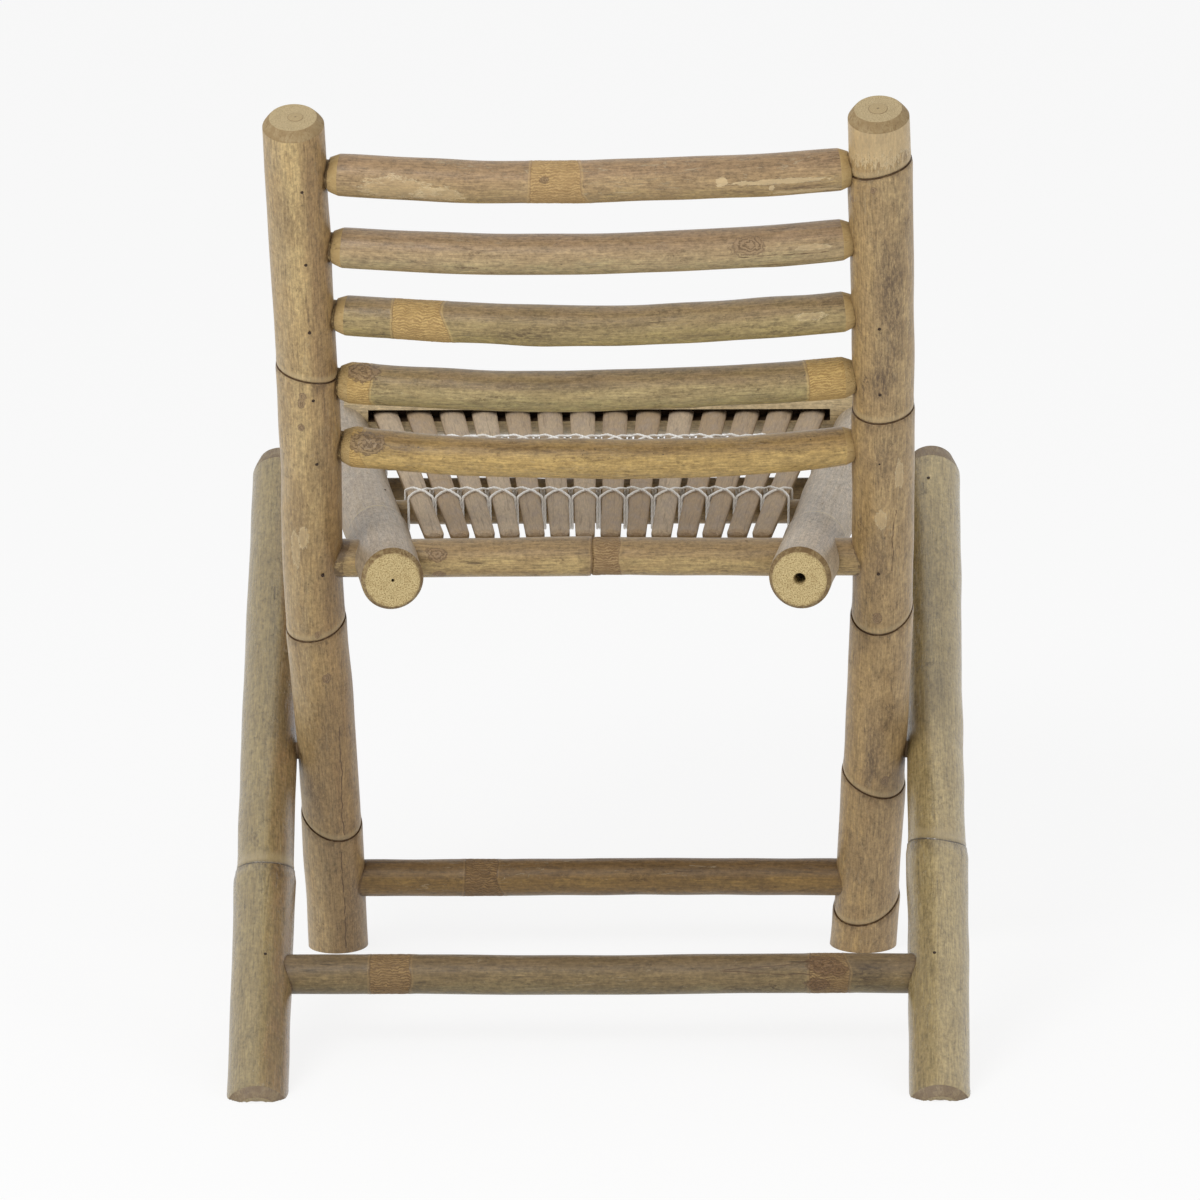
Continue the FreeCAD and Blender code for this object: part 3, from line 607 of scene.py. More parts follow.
def make_node_group():
    """The ring at a joint of the culm: a thin dark line in its groove, a paler band above it and a
    duller one below, partly grime that creeps away from the line and partly painted shade beside the
    node's swelling."""
    tree, source, result = shader_group(
        "joint_ring",
        {"Color": "Color", "Height": "Float", "Ring": "Float", "Stem": "Vector", "Line": "Color",
         "Band": "Color", "Band Amount": "Float"},
        {"Color": "Color", "Height": "Float"})
    t = Tree(tree)
    wave = t.noise(source["Stem"], (260, 260, 260), 3, 0.6)
    d = t.swing(wave, 0.0009, source["Ring"])
    line = t.times(t.rise(d, -0.0005, 0.0), t.rise(d, 0.0005, 0.0012, 1.0, 0.0))
    above = t.times(t.rise(d, 0.0008, 0.0018), t.rise(d, 0.0045, 0.0085, 1.0, 0.0))
    # the duller band below the line: partly grime, partly painted shade beside the swelling
    near = t.times(t.rise(d, -0.014, -0.001), t.rise(d, -0.0012, -0.0004, 1.0, 0.0))
    stain = t.noise(source["Stem"], (160, 160, 60), 4, 0.65)
    color = t.mix(t.times(above, source["Band Amount"]), source["Color"], source["Band"])
    color = t.mix(t.times(near, t.rise(stain, 0.42, 0.66, 0.0, 0.55)), color, source["Line"])
    halo = t.times(t.rise(d, -0.0030, 0.0), t.rise(d, 0.0008, 0.0030, 1.0, 0.0))
    color = t.mix(t.times(halo, 0.28), color, source["Line"])
    broken = t.rise(wave, 0.34, 0.52, 0.55, 0.95)
    color = t.mix(t.times(line, broken), color, source["Line"])
    t.give(result, Color=color, Height=t.minus(source["Height"], t.times(line, 1.6)))
    return tree


COMB_LINES = 42


def make_band_group():
    """A scraped band: a hard wavy edge, filled with the short strokes of a comb along the pole: evenly
    spaced round it, wavy and broken, pale on their crests and brown between."""
    tree, source, result = shader_group(
        "scraped_band",
        {"Color": "Color", "Height": "Float", "Roughness": "Float", "Inside": "Float", "Stem": "Vector",
         "Crest": "Color", "Valley": "Color"},
        {"Color": "Color", "Height": "Float", "Roughness": "Float"})
    t = Tree(tree)
    stem = source["Stem"]
    turn = t.turn(stem)
    ragged = t.noise(stem, (240, 240, 240), 4, 0.7)
    inside = t.swing(ragged, 0.0035, source["Inside"])
    mask = t.rise(inside, 0.0, 0.0004)
    edge = t.times(t.rise(inside, -0.0010, -0.0002), t.rise(inside, 0.0, 0.0008, 1.0, 0.0))
    sway = t.times(t.noise(stem, (110, 110, 150), 3, 0.6), 22.0)
    stroke = t.math("SINE", t.scale_add(turn, float(COMB_LINES), sway))
    broken = t.minus(t.noise(stem, (260, 260, 210), 3, 0.6), 0.5)
    marks = t.scale_add(broken, 5.0, stroke)
    tone = t.noise(stem, (120, 120, 80), 3, 0.6)
    middle = t.mix(0.5, source["Valley"], source["Crest"])
    strength = t.rise(t.noise(stem, (60, 60, 90), 2, 0.5), 0.40, 0.58, 0.55, 1.0)
    comb = t.mix(t.rise(marks, -1.0, 1.3), source["Valley"], source["Crest"])
    comb = t.mix(strength, middle, comb)
    comb = t.mix(t.rise(tone, 0.50, 0.68, 0.0, 0.45), comb, source["Valley"])
    color = t.mix(mask, source["Color"], comb)
    outline = t.times(t.rise(inside, -0.0026, -0.0016), t.rise(inside, -0.0010, -0.0004, 1.0, 0.0))
    color = t.mix(t.times(outline, 0.4), color, source["Crest"])
    color = t.mix(t.times(edge, 0.6), color, source["Valley"])
    height = t.scale_add(t.times(marks, mask), 0.9, source["Height"])
    height = t.minus(height, t.times(mask, 1.0))
    rough = t.scale_add(mask, 0.22, source["Roughness"])
    t.give(result, Color=color, Height=height, Roughness=rough)
    return tree


def make_cut_group():
    """Cut bamboo: on the carved rim, torn fibres; on the end face, pale ground with dense dark bundle
    dots, a browner margin and a small near-black heart, which is painted shade in the open pith."""
    tree, source, result = shader_group(
        "cut_wood",
        {"Color": "Color", "Height": "Float", "Roughness": "Float", "Trim": "Float", "Heart": "Float",
         "Stem": "Vector", "Face": "Color", "Dots": "Color", "Rim": "Color", "Heart Size": "Float"},
        {"Color": "Color", "Height": "Float", "Roughness": "Float"})
    t = Tree(tree)
    stem = source["Stem"]
    torn = t.noise(stem, (420, 420, 90), 5, 0.72, 0.5)
    wide = t.noise(stem, (110, 110, 60), 4, 0.6)
    rim = t.mix(t.rise(torn, 0.38, 0.62, 0.0, 0.55), source["Rim"], source["Face"])
    rim = t.mix(t.rise(wide, 0.42, 0.62, 0.25, 0.9), rim, source["Rim"])
    rim = t.mix(t.rise(torn, 0.30, 0.42, 0.5, 0.0), rim, (0.05, 0.032, 0.018, 1))
    flat = t.scaled(stem, (1, 1, 0))
    grain = t.noise(flat, (900, 900, 0), 3, 0.8)
    cloud = t.noise(flat, (130, 130, 0), 3, 0.6)
    margin = t.rise(t.scale_add(cloud, 0.18, source["Heart"]), 0.90, 1.02, 0.0, 0.6)
    face = t.mix(t.rise(grain, 0.47, 0.60), source["Face"], source["Dots"])
    face = t.mix(t.rise(cloud, 0.45, 0.65, 0.0, 0.25), face, source["Dots"])
    face = t.mix(margin, face, source["Rim"])
    # the near-black heart stands for the shade inside the open pith hole: painted shade
    wobble = t.scale_add(t.noise(flat, (300, 300, 0), 3, 0.6), 0.10, -0.05)
    core = t.math("ADD", source["Heart"], wobble)
    heart = t.rise(core, t.times(source["Heart Size"], 0.7), source["Heart Size"], 1.0, 0.0)
    face = t.mix(heart, face, (0.03, 0.018, 0.008, 1))
    is_rim = t.rise(t.swing(torn, 0.9, source["Trim"]), 0.35, 0.50)
    is_face = t.rise(source["Trim"], 1.3, 1.7)
    color = t.mix(is_rim, source["Color"], rim)
    color = t.mix(is_face, color, face)
    height = t.scale_add(t.times(torn, is_rim), 3.0, source["Height"])
    height = t.minus(height, t.times(t.times(grain, is_face), 1.2))
    rough = t.scale_add(is_rim, 0.3, source["Roughness"])
    t.give(result, Color=color, Height=height, Roughness=rough)
    return tree


def make_scar_group():
    """The whorl where a branch was cut off: a grey-brown patch with fine dark rings round its middle."""
    tree, source, result = shader_group(
        "branch_scar",
        {"Color": "Color", "Height": "Float", "Scar": "Float", "Stem": "Vector", "Bark": "Color",
         "Line": "Color"},
        {"Color": "Color", "Height": "Float"})
    t = Tree(tree)
    wave = t.noise(source["Stem"], (300, 300, 220), 5, 0.75, 0.8)
    slow = t.noise(source["Stem"], (110, 110, 90), 2, 0.5)
    depth = t.swing(wave, 0.9, source["Scar"])
    depth = t.swing(slow, 0.8, depth)
    rings = t.math("SINE", t.times(depth, 21.0))
    inside = t.times(t.rise(depth, 0.20, 0.45), t.rise(source["Scar"], 0.04, 0.2))
    color = t.mix(t.times(inside, 0.7), source["Color"], source["Bark"])
    dark = t.times(t.rise(rings, 0.25, 0.95), inside)
    color = t.mix(t.times(dark, 0.55), color, source["Line"])
    t.give(result, Color=color, Height=t.minus(source["Height"], t.times(dark, 1.5)))
    return tree


def make_contact_group():
    """Dirt and painted contact shade where another pole touches: dark where the surface lies within a
    millimetre of a round pole and faint within five, the pole given by a point of its line, its
    direction, its radius and how far it reaches either way from the point."""
    tree, source, result = shader_group(
        "contact_dirt_and_shade",
        {"Spot": "Vector", "Point": "Vector", "Direction": "Vector", "Radius": "Float", "Reach": "Float",
         "So Far": "Float"},
        {"Dirt": "Float"})
    t = Tree(tree)
    away = t.node("ShaderNodeVectorMath", operation="SUBTRACT")
    t.feed(away.inputs[0], source["Spot"])
    t.feed(away.inputs[1], source["Point"])
    cross = t.node("ShaderNodeVectorMath", operation="CROSS_PRODUCT")
    t.feed(cross.inputs[0], away.outputs[0])
    t.feed(cross.inputs[1], source["Direction"])
    length = t.node("ShaderNodeVectorMath", operation="LENGTH")
    t.feed(length.inputs[0], cross.outputs[0])
    gap = t.minus(length.outputs["Value"], source["Radius"])
    line = t.rise(gap, 0.0004, 0.0011, 0.75, 0.0)
    wide = t.rise(gap, 0.0, 0.005, 0.22, 0.0)
    along = t.node("ShaderNodeVectorMath", operation="DOT_PRODUCT")
    t.feed(along.inputs[0], away.outputs[0])
    t.feed(along.inputs[1], source["Direction"])
    near = t.math("LESS_THAN", t.math("ABSOLUTE", along.outputs["Value"]), source["Reach"])
    dirt_and_shade = t.times(t.larger(line, wide), near)
    t.give(result, Dirt=t.larger(source["So Far"], dirt_and_shade))
    return tree


def make_crack_group():
    """A hair crack along the pole: dark on a line that starts and ends at given shares of the length
    and turns a little as it goes, and gone 0.7 mm beside it."""
    tree, source, result = shader_group(
        "hair_crack",
        {"Stem": "Vector", "Along": "Float", "Start": "Float", "End": "Float", "Turn": "Float",
         "Drift": "Float", "Girth": "Float", "So Far": "Float"},
        {"Crack": "Float"})
    t = Tree(tree)
    turn = t.turn(source["Stem"])
    wave = t.noise(source["Stem"], (18, 18, 40), 3, 0.6)
    run = t.minus(source["Along"], source["Start"])
    target = t.scale_add(run, source["Drift"], source["Turn"])
    target = t.swing(wave, 0.35, target)
    off = t.times(t.math("ABSOLUTE", t.minus(turn, target)), source["Girth"])
    line = t.rise(off, 0.0002, 0.0007, 1.0, 0.0)
    line = t.times(line, t.rise(t.noise(source["Stem"], (90, 90, 120), 3, 0.6), 0.36, 0.5, 0.3, 1.0))
    inside = t.times(t.math("GREATER_THAN", run, 0.0), t.math("LESS_THAN", source["Along"], source["End"]))
    t.give(result, Crack=t.larger(source["So Far"], t.times(line, inside)))
    return tree


def make_spot_group():
    """An oval spot on a pole with a torn edge: its depth in from the edge, above 0 inside it. It is
    centred at a share of the length and a turn, with a half length and a half turn."""
    tree, source, result = shader_group(
        "oval_spot",
        {"Stem": "Vector", "Along": "Float", "Centre": "Float", "Turn": "Float", "Half Length": "Float",
         "Half Turn": "Float"},
        {"Depth": "Float"})
    t = Tree(tree)
    turn = t.turn(source["Stem"])
    one = t.math("DIVIDE", t.minus(source["Along"], source["Centre"]), source["Half Length"])
    two = t.math("DIVIDE", t.minus(turn, source["Turn"]), source["Half Turn"])
    away = t.math("SQRT", t.math("ADD", t.times(one, one), t.times(two, two)))
    torn = t.noise(source["Stem"], (330, 330, 110), 5, 0.80)
    depth = t.swing(torn, 2.6, t.minus(1.0, away))
    t.give(result, Depth=depth)
    return tree


SKIN = make_skin_group()
JOINT_RING = make_node_group()
SCRAPED_BAND = make_band_group()
CUT_WOOD = make_cut_group()
BRANCH_SCAR = make_scar_group()
CONTACT_DIRT_AND_SHADE = make_contact_group()
HAIR_CRACK = make_crack_group()
OVAL_SPOT = make_spot_group()


def new_material(name):
    material = bpy.data.materials.new(name)
    material.use_nodes = True
    tree = Tree(material.node_tree)
    return material, tree, material.node_tree.nodes["Principled BSDF"]


def bamboo(name, pale, deep, grime, low_pale=None, upper=None, lower=None, to_left=None, to_right=None,
           grime_amount=0.5, mould=0.5, scuff=0.5, line=(82, 60, 38), crest=(200, 168, 106),
           valley=(142, 110, 64), face=(187, 168, 122), dots=(150, 124, 78), rim=(128, 100, 66),
           bark=(146, 120, 90), ring_pale=0.35, heart=0.0, gloss=0.42, polish=0.0, ring_width=1.0,
           touching=(), cracks=(), stains=(), patches=()):
    """A culm's finish. Pale and deep are its two skin tones; low_pale replaces pale towards the lower
    end; upper, lower, to_left and to_right tint the sides that face those ways, partly the skin's own
    tone and partly painted light and shade on the sides turned to and from the lamps. Touching holds
    the poles it meets, each a point, a direction, a radius and a reach, for dirt and painted contact
    shade where they meet. Cracks holds hair cracks, each a start and an end as shares of the length, a
    turn in degrees, a drift and the pole's radius. Stains are clouds of grime and patches are rubbed
    paler, each a share of the length, a turn in degrees, a half length as a share, a half turn in
    degrees and a strength."""
    material, t, shader = new_material(name)
    stem = t.attribute("stem", "Vector")
    share = t.attribute("share")
    tone = srgb(*pale)
    if low_pale:
        tone = t.mix(t.rise(share, 0.2, 0.85), srgb(*low_pale), srgb(*pale))
    facing = t.node("ShaderNodeSeparateXYZ")
    t.feed(facing.inputs[0], t.attribute("facing", "Vector"))
    wander = t.scale_add(t.noise(stem, (60, 60, 9), 4, 0.65), 1.2, -0.6)
    # side tints: partly the skin's own tone, partly painted light and shade on the sides turned to and from
    # the lamps
    for way, tint in (("Z", upper), ("-Z", lower), ("-X", to_left), ("X", to_right)):
        if tint:
            sign = -1.0 if way.startswith("-") else 1.0
            side = t.scale_add(facing.outputs[way[-1]], sign, wander)
            tone = t.mix(t.rise(side, 0.0, 0.6), tone, srgb(*tint))
    skin = t.group(SKIN, Stem=stem, Pale=tone, Deep=t.mix(0.5, tone, srgb(*deep)), Grime=srgb(*grime),
                   **{"Grime Amount": grime_amount, "Mould Amount": mould, "Scuff Amount": scuff})
    color = skin["Color"]
    for spots, is_patch in ((stains, False), (patches, True)):
        for centre, turn, half_length, half_turn, strength in spots:
            depth = t.group(OVAL_SPOT, Stem=stem, Along=share, Centre=centre, Turn=math.radians(turn),
                            **{"Half Length": half_length, "Half Turn": math.radians(half_turn)})["Depth"]
            if is_patch:
                edge = t.times(t.rise(depth, -0.10, 0.0), t.rise(depth, 0.0, 0.08, 1.0, 0.0))
                color = t.mix(t.rise(depth, 0.0, 0.03, 0.0, strength), color, (0.66, 0.50, 0.28, 1))
                color = t.mix(t.times(edge, 0.5), color, (0.80, 0.68, 0.44, 1))
            else:
                speck = t.rise(t.noise(stem, (560, 560, 160), 5, 0.75), 0.42, 0.60, 0.3, 1.0)
                cloud = t.times(t.rise(depth, -0.4, 0.9, 0.0, strength), speck)
                color = t.mix(cloud, color, srgb(*grime))
    ring = t.group(JOINT_RING, Color=color, Height=skin["Height"], Stem=stem, Line=srgb(*line),
                   Ring=t.math("DIVIDE", t.attribute("ring"), ring_width), Band=srgb(*face),
                   **{"Band Amount": ring_pale})
    band = t.group(SCRAPED_BAND, Color=ring["Color"], Height=ring["Height"], Roughness=skin["Roughness"],
                   Inside=t.attribute("band"), Stem=stem, Crest=srgb(*crest), Valley=srgb(*valley))
    scar = t.group(BRANCH_SCAR, Color=band["Color"], Height=band["Height"], Scar=t.attribute("scar"),
                   Stem=stem, Bark=srgb(*bark), Line=srgb(*line))
    cut = t.group(CUT_WOOD, Color=scar["Color"], Height=scar["Height"], Roughness=band["Roughness"],
                  Trim=t.attribute("trim"), Heart=t.attribute("heart"), Stem=stem, Face=srgb(*face),
                  Dots=srgb(*dots), Rim=srgb(*rim), **{"Heart Size": heart})
    color = cut["Color"]
    crack = 0.0
    for start, end, turn, drift, radius in cracks:
        crack = t.group(HAIR_CRACK, Stem=stem, Along=share, Start=start, End=end, Turn=math.radians(turn),
                        Drift=drift, Girth=radius, **{"So Far": crack})["Crack"]
    if cracks:
        color = t.mix(t.times(crack, 0.85), color, srgb(*line))
    dirt_and_shade = 0.0
    spot = t.node("ShaderNodeTexCoord").outputs["Object"]
    for point, direction, radius, reach in touching:
        dirt_and_shade = t.group(CONTACT_DIRT_AND_SHADE, Spot=spot, Point=point, Direction=direction, Radius=radius,
                       Reach=reach, **{"So Far": dirt_and_shade})["Dirt"]
    # grime and painted contact shade where another pole meets this one, in the line colour
    if touching:
        dirt_and_shade = t.times(dirt_and_shade, t.rise(t.noise(stem, (190, 190, 190), 4, 0.65), 0.34, 0.56, 0.15, 1.0))
        color = t.mix(dirt_and_shade, color, srgb(*line))
    t.feed(shader.inputs["Base Color"], color)
    t.feed(shader.inputs["Roughness"], t.minus(cut["Roughness"], polish))
    t.bump(shader, cut["Height"], 0.7, 0.0003)
    shader.inputs["Specular IOR Level"].default_value = gloss
    return material


def finish(piece, material, body, slot, *nodes):
    """Gives a piece its material and sets it on its body in place of the CAD nodes. The slot is not used.
    """
    piece.data.materials.clear()
    piece.data.materials.append(material)
    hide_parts(*nodes)
    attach(piece, body)
    return piece


# back frame

POST_NODES = {
    "left": ((0.1408, 0.0085, -0.0068), (0.345, -0.0055, -0.002), (0.5986, 0.0065, 0.0034)),
    "right": ((0.0482, 0.0093, 0.0062), (0.1836, -0.0066, 0.0046), (0.3566, 0.0045, 0.0086),
              (0.5595, 0.002, 0.0), (0.7934, 0.0052, -0.0026)),
}
POST_SHAPE = {
    "left": dict(bends=((0.38, 0.10, 0.0035), (0.42, 2.0, 0.0021)), girth=((0, 1.02), (0.3, 1.0), (1, 1.0)),
                 scars=((0.3055, 104, 0.0035), (0.352, 96, 0.0028), (0.578, 80, 0.0034),
                        (0.585, 84, 0.0026), (0.556, 78, 0.0022))),
    "right": dict(bends=((0.34, 0.08, 0.0004), (0.03, 0.07, 0.0009)),
                  girth=((0, 1.09), (0.2, 1.05), (0.45, 1.0), (1, 0.995)),
                  scars=((0.3735, -100, 0.0032), (0.2015, -70, 0.003), (0.784, -104, 0.0022),
                         (0.772, -150, 0.0025))),
}
POST_CRACKS = {
    "left": ((0.175, 0.30, 117, 0.6, POLE_DIA / 2), (0.02, 0.155, 108, 0.4, POLE_DIA / 2)),
    "right": ((0.49, 0.56, -72, 0.4, POLE_DIA / 2),),
}


def back_rung_axis(ups, depth, bow=0.0):
    """The line of a rung between the posts, its ends the given depth inside them."""
    reach = POLE_DIA / 2 - depth
    left, right = ups
    return Axis(post_point("left", left) + ACROSS * reach, post_point("right", right) - ACROSS * reach,
                POST_REAR, bow)


def back_slat_axis(number):
    """A back slat's line between its two shoulders, number 1 the lowest."""
    ups = [BACK_SLAT_UP[side][number - 1] for side in SIDES]
    return back_rung_axis(ups, 0.001 - SHOULDER_RUN, BACK_SLAT_BOW[number - 1])


def post_neighbours(side):
    """The slats, the rail, the stretcher and the leg that a post meets, for its contact dirt and painted
    contact shade.
    """
    end = {"left": 0.0, "right": 1.0}[side]
    poles = []
    for number, dia in enumerate(BACK_SLAT_DIA, start=1):
        axis = back_slat_axis(number)
        point, tangent = axis.at(axis.length * end)[:2]
        poles.append((tuple(point), tuple(tangent), dia / 2 - 0.0025, 0.03))
    for up, dia in ((RAIL_UP, RAIL_DIA), (BACK_STRETCHER_UP, BACK_STRETCHER_DIA)):
        inner = post_point(side, up) - ACROSS * SIDES[side] * POLE_DIA / 2
        poles.append((tuple(inner), tuple(ACROSS), dia / 2, 0.02))
    return poles + [(tuple(leg_point(side, 0.2)), tuple(LEG_UP), POLE_DIA / 2, 1.0)]


def posts_near(ups):
    """The two posts beside a rung at those heights, for the rung's contact dirt and painted contact shade.
    """
    poles = []
    for side, up in zip(SIDES, ups):
        line = unit(post_point(side, up + 0.01) - post_point(side, up))
        poles.append((tuple(post_point(side, up)), tuple(line), POLE_DIA / 2, 0.1))
    return poles


# the flank tints to_left and to_right, darker than the middle, are partly the skin's own tone and partly
# painted shade on the turned flanks, most of all on the left post's right flank away from the key lamp
POST_SKIN = {
    "left": dict(pale=(194, 168, 118), deep=(166, 138, 94), grime=(104, 82, 56),
                 low_pale=(143, 119, 84), to_right=(146, 118, 80), to_left=(168, 145, 106),
                 grime_amount=0.6, mould=0.6, scuff=0.35, face=(190, 170, 130),
                 dots=(160, 140, 104), rim=(146, 122, 84),
                 stains=((0.905, 76, 0.03, 30, 0.6), (0.615, 112, 0.05, 24, 0.55),
                         (0.545, 70, 0.06, 34, 0.5), (0.30, 96, 0.05, 40, 0.5), (0.22, 64, 0.035, 26, 0.75),
                         (0.06, 130, 0.08, 26, 0.6), (0.40, 60, 0.07, 22, 0.4)),
                 patches=((0.535, 76, 0.012, 9, 0.4), (0.52, 60, 0.02, 8, 0.3))),
    "right": dict(pale=(170, 145, 104), deep=(140, 115, 80), grime=(94, 76, 58),
                  low_pale=(167, 141, 101), to_left=(168, 140, 94), grime_amount=0.75, mould=0.6,
                  scuff=0.4, face=(190, 170, 130), dots=(160, 140, 104), rim=(142, 118, 80),
                  stains=((0.825, -76, 0.055, 30, 0.95), (0.715, -92, 0.028, 26, 1.0),
                          (0.765, -70, 0.04, 24, 0.75), (0.62, -88, 0.03, 34, 0.6),
                          (0.50, -96, 0.04, 26, 0.6), (0.26, -100, 0.035, 14, 0.9),
                          (0.30, -84, 0.03, 30, 0.4)),
                  patches=((0.60, -60, 0.014, 8, 0.4), (0.55, -96, 0.01, 10, 0.35),
                           (0.992, 0, 0.036, 400, 0.45))),
}


def post(side):
    """A back post: foot cut flat by the floor, whittled top. The right one bows outwards."""
    axis = Axis(post_point(side, 0), post_point(side, POST_TOP_UP[side]), ACROSS * SIDES[side],
                POST_BOW[side])
    piece = culm(f"{side}_post", axis, POLE_DIA, plain_end, sawn_end, POST_NODES[side],
                 seed=11 + SIDES[side], begin=-GROUND_ALLOWANCE, floor=True, **POST_SHAPE[side])
    material = bamboo(f"{side}_post_bamboo", touching=post_neighbours(side), cracks=POST_CRACKS[side],
                      **POST_SKIN[side])
    return finish(piece, material, "back_frame", "post_bamboo", f"post_{side}")


POSTS = {side: post(side) for side in SIDES}


# the five back slats, lowest first: scraped bands as pairs of X, knots as X, turn and size, raised
# ridges as pairs of X, turn and height

BACK_SLAT_LOOKS = [
    {"bands": [(-0.222, -0.187, 0.003)], "knots": [(-0.184, -50, 0.010)], "slot": "ochre_bamboo",
     "skin": dict(pale=(182, 153, 95), deep=(158, 130, 78), grime=(100, 76, 44), upper=(146, 119, 77),
                  grime_amount=0.7, mould=1.0, scuff=0.3, crest=(206, 172, 106), valley=(164, 132, 78),
                  bark=(136, 114, 88), stains=((0.115, -50, 0.03, 34, 0.7), (0.36, -62, 0.11, 16, 0.9),
                                               (0.62, -58, 0.12, 14, 0.7), (0.52, -40, 0.05, 10, 0.5)))},
    {"bands": [(-0.2115, -0.1795, 0.001), (0.166, 0.205, 0.002)], "knots": [(-0.186, -72, 0.009)],
     "slot": "green_bamboo",
     "skin": dict(pale=(165, 146, 103), deep=(142, 122, 82), grime=(92, 74, 46), upper=(141, 119, 86),
                  lower=(156, 141, 94), grime_amount=1.0, mould=0.7, scuff=0.3, crest=(204, 172, 108),
                  valley=(160, 128, 76), bark=(140, 116, 90),
                  stains=((0.40, -52, 0.13, 16, 0.8), (0.30, 0, 0.1, 10, 0.5), (0.67, -20, 0.08, 16, 0.5),
                          (0.82, 10, 0.05, 14, 0.6), (0.20, -40, 0.05, 10, 0.7)))},
    {"bands": [(-0.160, -0.1165, 0.0055)], "knots": [], "slot": "green_bamboo",
     "skin": dict(pale=(160, 141, 98), deep=(138, 118, 80), grime=(88, 70, 46), upper=(144, 122, 89),
                  lower=(161, 142, 91), grime_amount=1.0, mould=0.7, scuff=0.3, crest=(200, 168, 108),
                  valley=(158, 127, 78), patches=((0.93, -30, 0.03, 10, 0.3),),
                  stains=((0.36, -6, 0.07, 26, 0.95), (0.44, -26, 0.06, 16, 0.7), (0.30, 6, 0.05, 12, 0.5),
                          (0.56, -34, 0.08, 10, 0.6), (0.70, 6, 0.07, 10, 0.5)))},
    {"bands": [], "knots": [(0.119, -40, 0.0085)], "slot": "tan_bamboo",
     "ridges": [(0.122, 0.212, -30, 0.0011), (0.122, 0.212, 14, 0.0011), (0.122, 0.205, 52, 0.0008),
                (0.130, 0.212, -72, 0.0008)],
     "skin": dict(pale=(172, 149, 112), deep=(150, 126, 92), grime=(106, 84, 60), upper=(152, 127, 97),
                  lower=(167, 149, 108), grime_amount=0.6, mould=0.5, scuff=0.5, bark=(156, 130, 98),
                  patches=((0.94, -22, 0.03, 8, 0.3), (0.94, 36, 0.035, 7, 0.3)),
                  cracks=((0.79, 0.97, -8, 0.3, 0.016), (0.80, 0.96, 33, -0.3, 0.016)))},
    {"bands": [(-0.050, -0.009, 0.004)], "knots": [(-0.039, -38, 0.0026)], "slot": "tan_bamboo",
     "skin": dict(pale=(166, 140, 102), deep=(144, 118, 84), grime=(102, 80, 56), upper=(150, 123, 91),
                  lower=(166, 141, 96), grime_amount=0.7, mould=0.4, scuff=0.8, crest=(192, 160, 108),
                  valley=(156, 125, 82),
                  patches=((0.12, -4, 0.07, 32, 0.22), (0.20, 8, 0.045, 22, 0.3),
                           (0.763, -20, 0.010, 12, 0.7), (0.861, 5, 0.006, 8, 0.7),
                           (0.88, -14, 0.085, 7, 0.6), (0.93, 26, 0.06, 8, 0.55)),
                  stains=((0.80, 12, 0.06, 12, 0.7), (0.92, 8, 0.05, 10, 0.8), (0.30, 20, 0.06, 12, 0.4)))},
]


def back_slat(number, look):
    """A bowed slat between the posts, number 1 the lowest."""
    axis = back_slat_axis(number)
    left = axis.at(0.0)[0][0]
    bands = [(low - left, high - left, bulge) for low, high, bulge in look["bands"]]
    knots = [(x - left, turn, size) for x, turn, size in look["knots"]]
    ridges = [(low - left, high - left, turn, height) for low, high, turn, height in look.get("ridges", ())]
    girth = 1 + 0.012 * np.cos(np.arange(6) * 1.9 + number)
    piece = culm(f"back_slat_{number}_culm", axis, BACK_SLAT_DIA[number - 1], tenon_end, tenon_end,
                 bands=bands, scars=knots, ridges=ridges, seed=40 + number,
                 girth=[(step / 5, factor) for step, factor in enumerate(girth)])
    near = posts_near([BACK_SLAT_UP[side][number - 1] for side in SIDES])
    material = bamboo(f"back_slat_{number}_bamboo", rim=(176, 148, 98), face=(208, 182, 130),
                      touching=near, **look["skin"])
    return finish(piece, material, "back_frame", look["slot"], f"back_slat_{number}")


for number, look in enumerate(BACK_SLAT_LOOKS, start=1):
    back_slat(number, look)


def straight_rung(name, node, body, axis, dia, skin, slot, nodes=(), bands=(), **shape):
    """A straight rung whose ends are hidden in the poles; nodes and bands are given as X."""
    left = axis.at(0.0)[0][0]
    piece = culm(name, axis, dia, plain_end, plain_end, [(x - left, 0.0006, -0.0008) for x in nodes],
                 [(low - left, high - left, bulge) for low, high, bulge in bands], columns=56, **shape)
    return finish(piece, bamboo(f"{name}_bamboo", **skin), body, slot, node)


straight_rung("seat_rail_culm", "seat_rail", "back_frame", back_rung_axis((RAIL_UP, RAIL_UP), SOCKET_DEPTH),
              RAIL_DIA,
              dict(pale=(174, 150, 102), deep=(148, 122, 82), grime=(98, 78, 52), upper=(146, 122, 86),
                   grime_amount=0.8, mould=0.5, scuff=0.4, crest=(168, 140, 98), valley=(124, 97, 64),
                   ring_pale=0.1, touching=posts_near((RAIL_UP, RAIL_UP))),
              "tan_bamboo", nodes=(-0.0075,), bands=((-0.0075, 0.015, 0.001),),
              scars=((0.103, -45, 0.006), (0.106, 20, 0.004)), seed=61, below=0.0007, above=-0.0002)
straight_rung("back_stretcher_culm", "back_stretcher", "back_frame",
              back_rung_axis((BACK_STRETCHER_UP, BACK_STRETCHER_UP), SOCKET_DEPTH), BACK_STRETCHER_DIA,
              dict(pale=(129, 102, 57), deep=(104, 79, 44), grime=(66, 48, 28), upper=(112, 88, 56),
                   grime_amount=1.0, mould=0.8, scuff=0.6, crest=(142, 113, 72), valley=(94, 70, 42),
                   ring_pale=0.1, touching=posts_near((BACK_STRETCHER_UP, BACK_STRETCHER_UP))),
              "tan_bamboo", bands=((-0.117, -0.087, 0.003),), seed=62, below=0.0006,
              above=-0.0002)


# leg frame

